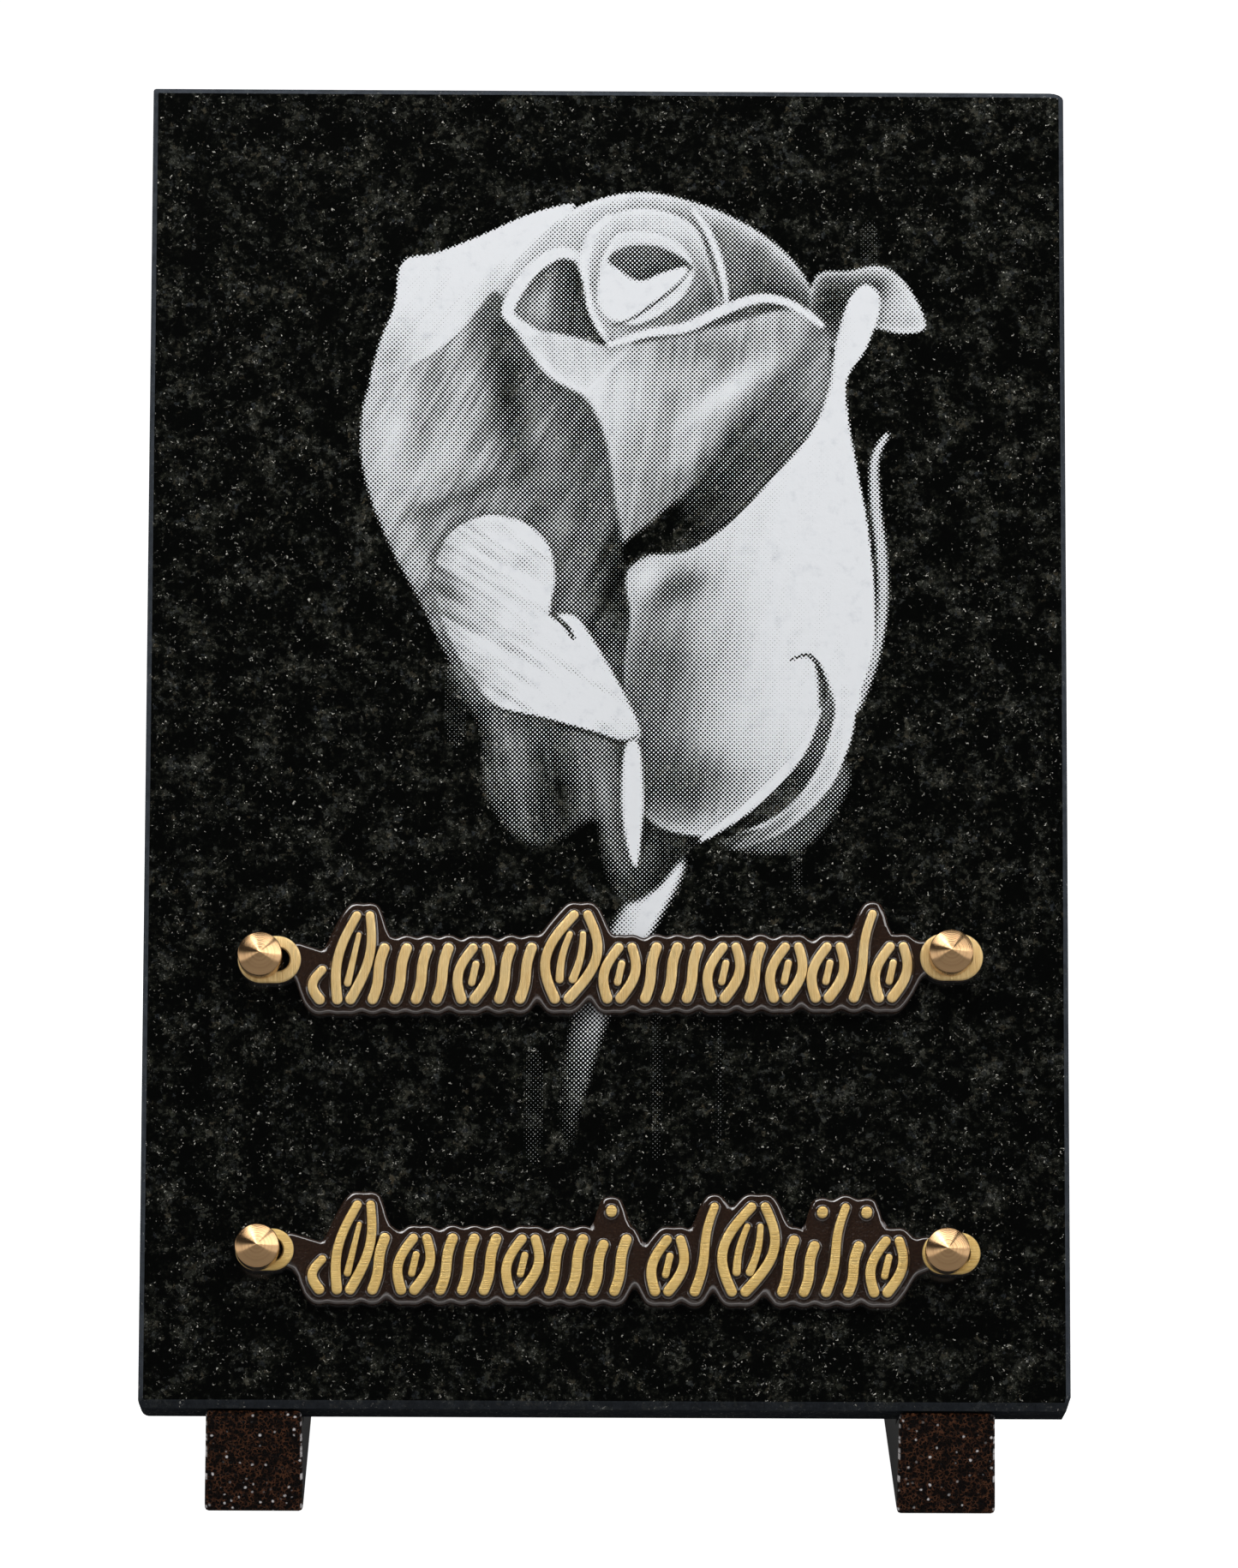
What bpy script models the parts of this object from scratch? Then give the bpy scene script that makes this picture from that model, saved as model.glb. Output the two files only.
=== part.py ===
"""Granite memorial plaque: a leaning slab on two cast feet, with two bronze strips held on by cap screws.

Lengths are in metres. +Z is up and the front faces -Y. The origin is on the floor, under the part's middle.
The slab and all that it carries are drawn in the slab's own axes: x to the right, y up along the polished
face from the slab's bottom edge, and z out of the face. An empty leans those axes back. Each strip, with its
screws, has axes of its own on the slab, since it was fixed a little out of level.
"""

import math
from dataclasses import dataclass

import bmesh
import bpy
from mathutils import Vector

# Granite slab
SLAB_WIDTH = 0.220
SLAB_HEIGHT = 0.320
SLAB_THICKNESS = 0.020
LEAN = math.radians(21.5)
SIDE_CHAMFER = 0.0012
TOP_CHAMFER = 0.00135
BOTTOM_CHAMFER = 0.0019
CHAMFER_DEPTH = 0.0013
BACK_ARRIS = 0.0006

# Worn slab corners: how far each one's round runs across and up
BOTTOM_LEFT_WEAR = (0.0019, 0.0019)
BOTTOM_RIGHT_CUT = (0.0011, 0.0033)
TOP_RIGHT_WEAR = (0.0034, 0.0017)
TOP_LEFT_WEAR = (0.0006, 0.0006)

# Clearance between pieces that touch
GAP = 0.0003

# Cast feet
FOOT_INSET = 0.0282
FEET_SHIFT = -0.00095
FOOT_HEIGHT = 0.025
FOOT_LENGTH = 0.116
FOOT_WIDTH = 0.0233
FOOT_DRAFT = math.radians(0.9)
FOOT_TAIL_HEIGHT = 0.0075
FOOT_TAIL_ROUND = 0.0040
FOOT_EDGE_ROUND = 0.0010
UPSTAND_REACH = 0.046
UPSTAND_THICKNESS = 0.0075
UPSTAND_ROUND = 0.0030
UPSTAND_FILLET = 0.012
ROUND_STEPS = 3
FILLET_STEPS = 4

# Cap screws
SHANK_RADIUS = 0.0020
SHANK_DEPTH = 0.0090
SHANK_POINT = 0.0008
CAP_RADIUS = 0.0052
CAP_SIDE = 0.0062
CAP_CONE = 0.0028
CAP_EDGE = 0.0003
CAP_SIDES = 24
HOLE_CLEARANCE = 0.0003
HOLE_SPARE_DEPTH = 0.0010

# Inscription strips
PLATE_THICKNESS = 0.0026
PLATE_RIM = 0.0007
PLATE_MARGIN = 0.0024
PLATE_SPINE = 0.0046
SPINE_STEP = 0.0023
PLATE_NECK = 0.0042
NECK_STEPS = 4
OUTLINE_STEP = 0.0013
OUTLINE_EASE = 0.9
TIP_SHARES = (0.12, 0.45)
STROKE_RELIEF = 0.0015
STROKE_ROOT = 0.0008
STROKE_WIDTH = 0.0025
STROKE_HEIGHT = 0.0147
TALL_STROKE_HEIGHT = 0.0226
LEAFLET_HEIGHT = 0.0096
STROKE_SLANT = math.radians(13)
DOT_RADIUS = 0.0013
LUG_THICKNESS = 0.0032
LUG_BACK_STEP = 0.0001
LUG_OVERLAP = 0.0052
LUG_ROUND_STEPS = 8
SLOT_CLEARANCE = 0.0007


@dataclass(frozen=True)
class Line:
    """One stroke of a mark as it is drawn: upright, about the mark's middle, in half stroke widths.

    Only the level that its foot stands on and the level that its head reaches are in metres.
    """

    foot: float = 0.0
    head: float = 0.0
    base: float = 0.0
    top: float = STROKE_HEIGHT
    lift: float = 0.0
    drop: float = 0.0
    bow: float = 0.0
    sway: float = 0.0
    foot_wide: float = 1.0
    head_wide: float = 1.0
    steps: int = 3


@dataclass(frozen=True)
class Mark:
    """A kind of mark: the room that it takes along its row, and its lines."""

    room: float
    lines: tuple


@dataclass(frozen=True)
class Stroke:
    """A raised stroke's middle line, from its foot to its head, with its half widths at both ends."""

    points: tuple
    foot_half: float
    head_half: float


@dataclass(frozen=True)
class Strip:
    """One inscription strip: its place and tilt on the slab, its screws and lugs, and the marks in its row.

    Its own axes start at its height, midway across the slab. It hangs on its screws by the hang.
    """

    name: str
    height: float
    tilt: float
    hang: float
    screws: tuple
    lugs: tuple
    lug_length: float
    lug_height: float
    slot_length: float
    row_gap: float
    baseline_drop: float
    marks: str


def pair(across, bow, **shape):
    """Two lines that mirror each other about the mark's middle."""
    sides = (-1, 1)
    return tuple(Line(foot=side * across, head=side * across, bow=side * bow, **shape) for side in sides)


DOT_WIDE = DOT_RADIUS / STROKE_WIDTH * 2
DOT_BASE = TALL_STROKE_HEIGHT - STROKE_WIDTH - DOT_RADIUS
MARKS = {
    "space": Mark(0.0034, ()),
    "reed": Mark(0.0050, (Line(sway=0.25),)),
    "dotted": Mark(
        0.0050,
        (
            Line(sway=0.25, drop=DOT_WIDE),
            Line(
                base=DOT_BASE,
                top=TALL_STROKE_HEIGHT,
                drop=0.8,
                foot_wide=DOT_WIDE,
                head_wide=DOT_WIDE,
                steps=1,
            ),
        ),
    ),
    "mast": Mark(0.0052, (Line(top=TALL_STROKE_HEIGHT, sway=0.4, head_wide=0.8),)),
    "leaf": Mark(
        0.0100,
        (
            *pair(1.25, 1.7, head_wide=0.9, steps=4),
            Line(lift=3.1, drop=3.1, foot_wide=0.7, head_wide=0.7, steps=2),
        ),
    ),
    "crest": Mark(
        0.0150,
        (
            *pair(1.3, 3.5, top=TALL_STROKE_HEIGHT, head_wide=0.9, steps=5),
            *pair(1.25, 0.5, top=TALL_STROKE_HEIGHT, lift=3.7, drop=3.7, foot_wide=0.8, head_wide=0.6),
        ),
    ),
    # A low leaflet, two tall sides about a rib, and a reed
    "bud": Mark(
        0.0195,
        (
            Line(foot=-4.6, head=-5.4, top=LEAFLET_HEIGHT, bow=-1.6, head_wide=0.8, steps=4),
            *pair(1.25, 1.7, top=TALL_STROKE_HEIGHT, head_wide=0.85, steps=4),
            Line(top=TALL_STROKE_HEIGHT, lift=3.1, drop=3.7, foot_wide=0.7, head_wide=0.5),
            Line(foot=5.45, head=5.45, sway=0.25),
        ),
    ),
}

UPPER_STRIP = Strip(
    name="upper_inscription_strip",
    height=0.1070,
    tilt=math.radians(0.45),
    hang=0.0004,
    screws=(-0.0820, 0.0817),
    lugs=(-0.0799, 0.0820),
    lug_length=0.0151,
    lug_height=0.0114,
    slot_length=0.0096,
    row_gap=0.0019,
    baseline_drop=0.0110,
    marks="bud reed reed reed leaf reed reed crest leaf reed reed reed leaf reed leaf leaf mast leaf",
)
LOWER_STRIP = Strip(
    name="lower_inscription_strip",
    height=0.0370,
    tilt=math.radians(-0.1),
    hang=0.0001,
    screws=(-0.0820, 0.0806),
    lugs=(-0.0804, 0.0817),
    lug_length=0.0139,
    lug_height=0.0101,
    slot_length=0.0086,
    row_gap=0.0032,
    baseline_drop=0.0107,
    marks=(
        "bud leaf reed reed reed leaf reed reed dotted reed space"
        " leaf mast crest reed dotted mast dotted leaf"
    ),
)


def clear_scene():
    """Remove every object that the scene starts with."""
    for obj in list(bpy.data.objects):
        bpy.data.objects.remove(obj)


def material(name, color, roughness, metallic):
    """A Principled material with one colour."""
    made = bpy.data.materials.new(name)
    made.use_nodes = True
    shader = made.node_tree.nodes["Principled BSDF"]
    shader.inputs["Base Color"].default_value = (*color, 1.0)
    shader.inputs["Roughness"].default_value = roughness
    shader.inputs["Metallic"].default_value = metallic
    return made


def empty(name, parent=None):
    """An empty that carries pieces."""
    made = bpy.data.objects.new(name, None)
    bpy.context.scene.collection.objects.link(made)
    made.parent = parent
    return made


def object_of(name, bm, parent, made_of=None):
    """Turn a bmesh into an object with outward faces, under its parent."""
    bmesh.ops.recalc_face_normals(bm, faces=bm.faces)
    mesh = bpy.data.meshes.new(name)
    bm.to_mesh(mesh)
    bm.free()
    made = bpy.data.objects.new(name, mesh)
    bpy.context.scene.collection.objects.link(made)
    made.parent = parent
    if made_of:
        mesh.materials.append(made_of)
    return made


def helper(name, bm, parent):
    """A cutter or an addition, which is only used by a Boolean modifier."""
    made = object_of(name, bm, parent)
    made.hide_render = True
    made.display_type = "WIRE"
    return made


def boolean(target, other, operation):
    """Add a Boolean modifier that keeps the exact solver."""
    modifier = target.modifiers.new(f"{operation.lower()} {other.name}", "BOOLEAN")
    modifier.operation = operation
    modifier.solver = "EXACT"
    modifier.object = other


def shade_smooth(obj, angle):
    """Smooth shading, with edges sharper than the angle kept crisp."""
    obj.data.shade_smooth()
    obj.data.set_sharp_from_angle(angle=angle)


def add_stack(bm, rings):
    """A closed body through rings that have equally many points, capped at both ends."""
    layers = [[bm.verts.new(point) for point in ring] for ring in rings]
    count = len(layers[0])
    bm.faces.new(list(reversed(layers[0])))
    bm.faces.new(layers[-1])
    for low, high in zip(layers, layers[1:]):
        for i in range(count):
            j = (i + 1) % count
            bm.faces.new((low[i], low[j], high[j], high[i]))


def slab_outline(side, bottom, top):
    """The slab's outline, anticlockwise, moved in from its sides, bottom and top, with the worn corners."""
    half = SLAB_WIDTH / 2
    # Each corner's side, end, wear, straight pieces and first angle
    corners = (
        (-1, -1, BOTTOM_LEFT_WEAR, 4, 180),
        (1, -1, BOTTOM_RIGHT_CUT, 1, 270),
        (1, 1, TOP_RIGHT_WEAR, 4, 0),
        (-1, 1, TOP_LEFT_WEAR, 2, 90),
    )
    points = []
    for across, up, (run_x, run_y), steps, start in corners:
        inset_y = bottom if up < 0 else top
        run_x = max(run_x - side, BACK_ARRIS / 2)
        run_y = max(run_y - inset_y, BACK_ARRIS / 2)
        edge_y = inset_y if up < 0 else SLAB_HEIGHT - inset_y
        center_x = across * (half - side - run_x)
        center_y = edge_y - up * run_y
        for i in range(steps + 1):
            angle = math.radians(start + 90 * i / steps)
            points.append((center_x + run_x * math.cos(angle), center_y + run_y * math.sin(angle)))
    return points


def at_level(points, z):
    """A flat outline as a ring at one level."""
    return [(x, y, z) for x, y in points]


def build_slab(parent, granite):
    """The granite slab, chamfered round its polished face."""
    edge = slab_outline(0, 0, 0)
    bm = bmesh.new()
    add_stack(
        bm,
        [
            at_level(slab_outline(BACK_ARRIS, BACK_ARRIS, BACK_ARRIS), -SLAB_THICKNESS),
            at_level(edge, BACK_ARRIS - SLAB_THICKNESS),
            at_level(edge, -CHAMFER_DEPTH),
            at_level(slab_outline(SIDE_CHAMFER, BOTTOM_CHAMFER, TOP_CHAMFER), 0),
        ],
    )
    return object_of("granite_slab", bm, parent, granite)


def drill(slab, strip, axes):
    """Cut a blind hole in the slab for each of a strip's screws."""
    depth = SHANK_DEPTH + HOLE_SPARE_DEPTH
    bm = bmesh.new()
    for x in strip.screws:
        circle = round_points((x, strip.hang), SHANK_RADIUS + HOLE_CLEARANCE, CAP_SIDES)
        add_stack(bm, [at_level(circle, -depth), at_level(circle, depth)])
    boolean(slab, helper(f"{strip.name}_screw_holes", bm, axes), "DIFFERENCE")


def round_points(center, radius, count):
    """Points round a circle, anticlockwise."""
    turns = (2 * math.pi * i / count for i in range(count))
    return [(center[0] + radius * math.cos(a), center[1] + radius * math.sin(a)) for a in turns]


def draw(line, place):
    """A line as a stroke: slanted, and moved to its place on the base line."""
    half = STROKE_WIDTH / 2
    low = line.base + half * (1 + line.lift)
    high = line.top - half * (1 + line.drop)
    points = []
    for i in range(line.steps + 1):
        t = i / line.steps
        bend = line.bow * math.sin(math.pi * t) + line.sway * math.sin(2 * math.pi * t)
        x = line.foot + (line.head - line.foot) * t + bend
        y = low + (high - low) * t
        points.append(place + Vector((half * x + y * math.tan(STROKE_SLANT), y)))
    return Stroke(tuple(points), half * line.foot_wide, half * line.head_wide)


def row_limits(strip):
    """The row's ends, a gap away from the two lugs."""
    left, right = strip.lugs
    reach = strip.lug_length / 2 + strip.row_gap
    return left + reach, right - reach


def row_strokes(strip):
    """Every stroke of a strip's row, spread evenly over the row's length."""
    start, end = row_limits(strip)
    marks = [MARKS[name] for name in strip.marks.split()]
    stretch = (end - start) / sum(mark.room for mark in marks)
    strokes = []
    x = start - STROKE_HEIGHT * math.tan(STROKE_SLANT) / 2
    for mark in marks:
        room = mark.room * stretch
        place = Vector((x + room / 2, -strip.baseline_drop))
        x += room
        strokes += [draw(line, place) for line in mark.lines]
    return strokes


def half_width(part, i):
    """A stroke's half width at one of its points."""
    t = i / (len(part.points) - 1)
    return part.foot_half + (part.head_half - part.foot_half) * t


def stroke_outline(part):
    """The outline of a stroke with round ends, anticlockwise."""
    points = part.points
    last = len(points) - 1
    right, left = [], []
    for i, point in enumerate(points):
        along = (points[min(i + 1, last)] - points[max(i - 1, 0)]).normalized()
        side = Vector((along.y, -along.x)) * half_width(part, i)
        right.append(point + side)
        left.append(point - side)

    def end_round(center, edge):
        """The two points of a half round that starts at the edge point."""
        arm = edge - center
        turns = [(math.cos(a), math.sin(a)) for a in (math.pi / 3, 2 * math.pi / 3)]
        return [center + Vector((arm.x * c - arm.y * s, arm.x * s + arm.y * c)) for c, s in turns]

    head = end_round(points[-1], right[-1])
    foot = end_round(points[0], left[0])
    return [*right, *head, *reversed(left), *foot]


def plate_discs(strip):
    """The discs whose union is the plate, as (x, y, radius): a margin round each stroke, and a spine."""
    discs = []
    for part in row_strokes(strip):
        for i, (a, b) in enumerate(zip(part.points, part.points[1:])):
            radius = half_width(part, i) + PLATE_MARGIN
            discs += [(point.x, point.y, radius) for point in (a, (a + b) / 2)]
        head = part.points[-1]
        discs.append((head.x, head.y, part.head_half + PLATE_MARGIN))
    # The spine keeps the plate whole across a space, and narrows to a neck that runs in under each lug.
    start, end = row_limits(strip)
    middle = STROKE_HEIGHT / 2 - strip.baseline_drop
    reach = strip.row_gap + LUG_OVERLAP - PLATE_NECK
    count = round((end - start) / SPINE_STEP)
    for i in range(count + 1):
        near_end = max(0.0, 1 - min(i, count - i) / NECK_STEPS)
        x = start - reach + (end - start + 2 * reach) * i / count
        discs.append((x, middle * (1 - near_end), PLATE_SPINE + (PLATE_NECK - PLATE_SPINE) * near_end))
    return discs


def plate_outline(discs, inset):
    """The union of the discs, each smaller by the inset, anticlockwise. Every inset gives as many points."""
    smaller = [(x, y, radius - inset) for x, y, radius in discs]
    left_tip = min(smaller, key=lambda disc: disc[0] - disc[2])
    right_tip = max(smaller, key=lambda disc: disc[0] + disc[2])
    first, last = left_tip[0] - left_tip[2], right_tip[0] + right_tip[2]
    full = max(x + radius for x, _, radius in discs) - min(x - radius for x, _, radius in discs)
    count = round(full / OUTLINE_STEP)
    near, far = [tip / count for tip in TIP_SHARES], [1 - tip / count for tip in reversed(TIP_SHARES)]
    xs = [first + (last - first) * share for share in [*near, *(i / count for i in range(1, count)), *far]]

    def reach(x, up):
        """The discs' highest point (up 1) or lowest point (up -1) at x."""
        over = [d for d in smaller if abs(x - d[0]) < d[2]]
        return max(up * d[1] + math.sqrt(d[2] ** 2 - (x - d[0]) ** 2) for d in over) * up

    def eased(x, up):
        """The same, averaged a little to both sides, which fills the sharp notches."""
        step = min(OUTLINE_STEP, x - first, last - x) * OUTLINE_EASE
        return (reach(x - step, up) + 2 * reach(x, up) + reach(x + step, up)) / 4

    bottom = [(x, eased(x, -1)) for x in xs]
    top = [(x, eased(x, 1)) for x in reversed(xs)]
    return [(first, left_tip[1]), *bottom, (last, right_tip[1]), *top]


def oval_points(middle, length, height):
    """A flat oval with round ends about a middle on the strip's own line, anticlockwise."""
    radius = height / 2
    points = []
    for side in (1, -1):
        for i in range(LUG_ROUND_STEPS + 1):
            angle = math.radians(-90 + 180 * i / LUG_ROUND_STEPS)
            x = length / 2 - radius + radius * math.cos(angle)
            points.append((middle + side * x, side * radius * math.sin(angle)))
    return points


def build_strip(strip, parent, bronze):
    """A cast strip: a plate that follows its row of strokes, a slotted lug at each end, and the strokes."""
    back = GAP
    front = back + PLATE_THICKNESS
    discs = plate_discs(strip)
    full, rim = plate_outline(discs, 0), plate_outline(discs, PLATE_RIM)
    bm = bmesh.new()
    add_stack(bm, [at_level(full, back), at_level(full, front - PLATE_RIM), at_level(rim, front)])
    made = object_of(strip.name, bm, parent, bronze)

    slot_height = (SHANK_RADIUS + SLOT_CLEARANCE) * 2
    lug_back = back + LUG_BACK_STEP
    lugs, slots = bmesh.new(), bmesh.new()
    for x in strip.lugs:
        lug = oval_points(x, strip.lug_length, strip.lug_height)
        add_stack(lugs, [at_level(lug, lug_back), at_level(lug, lug_back + LUG_THICKNESS)])
        slot = oval_points(x, strip.slot_length, slot_height)
        add_stack(slots, [at_level(slot, back - LUG_THICKNESS), at_level(slot, back + 2 * LUG_THICKNESS)])
    boolean(made, helper(f"{strip.name}_lugs", lugs, parent), "UNION")

    strokes = bmesh.new()
    root, top = front - STROKE_ROOT, front + STROKE_RELIEF
    for part in row_strokes(strip):
        outline = stroke_outline(part)
        add_stack(strokes, [at_level(outline, root), at_level(outline, top)])
    boolean(made, helper(f"{strip.name}_strokes", strokes, parent), "UNION")
    boolean(made, helper(f"{strip.name}_slots", slots, parent), "DIFFERENCE")
    return made


def build_screw(name, x, y, parent, brass):
    """A turned cap screw: a shank through the lug's slot into the slab, and a cap with a pointed face."""
    seat = GAP + LUG_BACK_STEP + LUG_THICKNESS + GAP
    side_top = seat + CAP_SIDE
    profile = [
        (0, -SHANK_DEPTH),
        (SHANK_RADIUS - SHANK_POINT, -SHANK_DEPTH),
        (SHANK_RADIUS, SHANK_POINT - SHANK_DEPTH),
        (SHANK_RADIUS, seat),
        (CAP_RADIUS - CAP_EDGE, seat),
        (CAP_RADIUS, seat + CAP_EDGE),
        (CAP_RADIUS, side_top - CAP_EDGE),
        (CAP_RADIUS - CAP_EDGE, side_top),
        (0, side_top + CAP_CONE),
    ]
    bm = bmesh.new()
    verts = [bm.verts.new((radius, 0, level)) for radius, level in profile]
    edges = [bm.edges.new(ends) for ends in zip(verts, verts[1:])]
    middle = Vector((0, 0, 0))
    bmesh.ops.spin(
        bm,
        geom=[*verts, *edges],
        cent=middle,
        axis=(0, 0, 1),
        dvec=middle,
        angle=2 * math.pi,
        steps=CAP_SIDES,
    )
    bmesh.ops.remove_doubles(bm, verts=bm.verts, dist=0.00001)
    screw = object_of(name, bm, parent, brass)
    screw.location = (x, y, 0)
    shade_smooth(screw, math.radians(25))
    return screw


def arc(center, radius, start, end, steps):
    """Points along an arc from one angle to another, in degrees."""
    angles = [math.radians(start + (end - start) * i / steps) for i in range(steps + 1)]
    return [(center[0] + radius * math.cos(a), center[1] + radius * math.sin(a)) for a in angles]


def foot_profile():
    """The foot's side view as (back from the front face, up from the floor).

    Its seat follows the slab's underside and its upstand follows the slab's back, both a gap away. A tapered
    tail runs back along the floor, as far as the slab's weight needs.
    """
    down_back = Vector((math.cos(LEAN), -math.sin(LEAN)))
    up_back = Vector((math.sin(LEAN), math.cos(LEAN)))
    seat_front = Vector((0, FOOT_HEIGHT))
    corner = seat_front + down_back * (SLAB_THICKNESS - CHAMFER_DEPTH + GAP)
    rise = UPSTAND_REACH + GAP
    top_front = corner + up_back * (rise - UPSTAND_ROUND)
    top_back = top_front + down_back * UPSTAND_THICKNESS
    lean = math.degrees(LEAN)
    inward = down_back * UPSTAND_ROUND
    front_round = arc(top_front + inward, UPSTAND_ROUND, 180 - lean, 90 - lean, ROUND_STEPS)
    back_round = arc(top_back - inward, UPSTAND_ROUND, 90 - lean, -lean, ROUND_STEPS)
    tail_center = (FOOT_LENGTH - FOOT_TAIL_ROUND, FOOT_TAIL_HEIGHT - FOOT_TAIL_ROUND)
    tail_round = arc(tail_center, FOOT_TAIL_ROUND, 90, 0, ROUND_STEPS)

    # A hollow round joins the upstand's back to the tail's sloping top.
    back_foot = corner + down_back * UPSTAND_THICKNESS
    slope = (Vector(tail_round[0]) - back_foot).normalized()
    upper, lower = back_foot + up_back * UPSTAND_FILLET, back_foot + slope * UPSTAND_FILLET
    hollow = []
    for i in range(FILLET_STEPS + 1):
        t = i / FILLET_STEPS
        hollow.append(upper * (1 - t) ** 2 + back_foot * (2 * t * (1 - t)) + lower * t**2)
    outline = [(0, 0), seat_front, corner, *front_round, *back_round, *hollow, *tail_round, (FOOT_LENGTH, 0)]
    return [Vector(point) for point in outline]


def build_foot(name, x, parent, paint):
    """A cast foot with draft to its sides: a block under the slab, an upstand behind it and a tail."""
    profile = foot_profile()
    rings = []
    for side in (-1, 1):
        half = FOOT_WIDTH / 2
        rings.append([(side * (half - p.y * math.tan(FOOT_DRAFT)), p.x, p.y) for p in profile])
    bm = bmesh.new()
    add_stack(bm, rings)
    foot = object_of(name, bm, parent, paint)
    foot.location = (x, 0, 0)
    rounding = foot.modifiers.new("cast edges", "BEVEL")
    rounding.width = FOOT_EDGE_ROUND
    rounding.segments = 2
    rounding.limit_method = "ANGLE"
    rounding.angle_limit = math.radians(50)
    shade_smooth(foot, math.radians(35))
    return foot


def center_on_floor(root, pieces):
    """Move the root so that the part's box stands on the floor with its middle over the origin."""
    bpy.context.view_layer.update()
    graph = bpy.context.evaluated_depsgraph_get()
    corners = []
    for piece in pieces:
        shown = piece.evaluated_get(graph)
        corners += [shown.matrix_world @ vert.co for vert in shown.data.vertices]
    low = [min(c[axis] for c in corners) for axis in range(3)]
    high = [max(c[axis] for c in corners) for axis in range(3)]
    root.location = (-(low[0] + high[0]) / 2, -(low[1] + high[1]) / 2, -low[2])


def main():
    """Build the plaque."""
    clear_scene()
    granite = material("polished black granite", (0.012, 0.013, 0.011), 0.12, 0.0)
    bronze = material("patinated cast bronze", (0.42, 0.28, 0.10), 0.35, 1.0)
    brass = material("turned brass", (0.62, 0.42, 0.20), 0.25, 1.0)
    paint = material("hammered paint", (0.035, 0.018, 0.012), 0.25, 0.0)

    root = empty("plaque")
    # The slab's lower front edge, behind the chamfer, rests over the top of the feet's front faces.
    leaning = empty("slab_axes", root)
    leaning.rotation_euler = (math.pi / 2 - LEAN, 0, 0)
    edge_drop = Vector((0, CHAMFER_DEPTH * math.cos(LEAN), -CHAMFER_DEPTH * math.sin(LEAN)))
    lift = GAP * Vector((0, math.sin(LEAN), math.cos(LEAN)))
    leaning.location = Vector((0, 0, FOOT_HEIGHT)) - edge_drop + lift

    slab = build_slab(leaning, granite)
    pieces = [slab]
    for level, strip in (("upper", UPPER_STRIP), ("lower", LOWER_STRIP)):
        axes = empty(f"{level}_strip_axes", leaning)
        axes.location = (0, strip.height, 0)
        axes.rotation_euler = (0, 0, strip.tilt)
        drill(slab, strip, axes)
        pieces.append(build_strip(strip, axes, bronze))
        for side, x in zip(("left", "right"), strip.screws):
            pieces.append(build_screw(f"cap_screw_{level}_{side}", x, strip.hang, axes, brass))
    reach = SLAB_WIDTH / 2 - FOOT_INSET
    for side, x in (("left", -reach), ("right", reach)):
        pieces.append(build_foot(f"foot_{side}", x + FEET_SHIFT, root, paint))
    center_on_floor(root, pieces)


main()
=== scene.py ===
"""The granite memorial plaque's looks: finer meshes and finishes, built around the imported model.

Lengths are in metres in the model's frame: the front faces -Y and +Z is up. What lies on the slab is drawn in the
slab's own axes, x across, y up the polished face from its bottom edge and z out of the face. The rose's points are in
millimetres of those axes.
"""

import logging
import math
from dataclasses import dataclass
from enum import Enum
from functools import reduce
from typing import Callable, Optional, Sequence, Union

import bmesh
import bpy
import numpy as np
from mathutils import Matrix, Vector


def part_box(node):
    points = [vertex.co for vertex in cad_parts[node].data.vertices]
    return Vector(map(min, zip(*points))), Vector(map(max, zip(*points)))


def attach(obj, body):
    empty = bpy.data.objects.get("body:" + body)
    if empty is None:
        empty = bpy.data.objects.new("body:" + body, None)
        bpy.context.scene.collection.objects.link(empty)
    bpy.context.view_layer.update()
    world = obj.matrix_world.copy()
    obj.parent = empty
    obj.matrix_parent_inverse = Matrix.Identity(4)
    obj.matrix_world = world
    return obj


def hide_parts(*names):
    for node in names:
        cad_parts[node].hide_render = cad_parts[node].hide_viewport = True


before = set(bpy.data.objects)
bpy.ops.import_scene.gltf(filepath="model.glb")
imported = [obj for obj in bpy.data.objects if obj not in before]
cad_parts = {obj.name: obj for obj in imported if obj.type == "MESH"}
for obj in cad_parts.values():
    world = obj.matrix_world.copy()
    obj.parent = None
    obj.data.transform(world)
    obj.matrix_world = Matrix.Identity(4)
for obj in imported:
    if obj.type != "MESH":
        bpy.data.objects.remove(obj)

log = logging.getLogger("plaque")
BODY = "root"
MM = 0.001
MERGE = 0.000001
Pair = tuple[float, float]
Range = Pair
Triple = tuple[float, float, float]
Color = Triple


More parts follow.
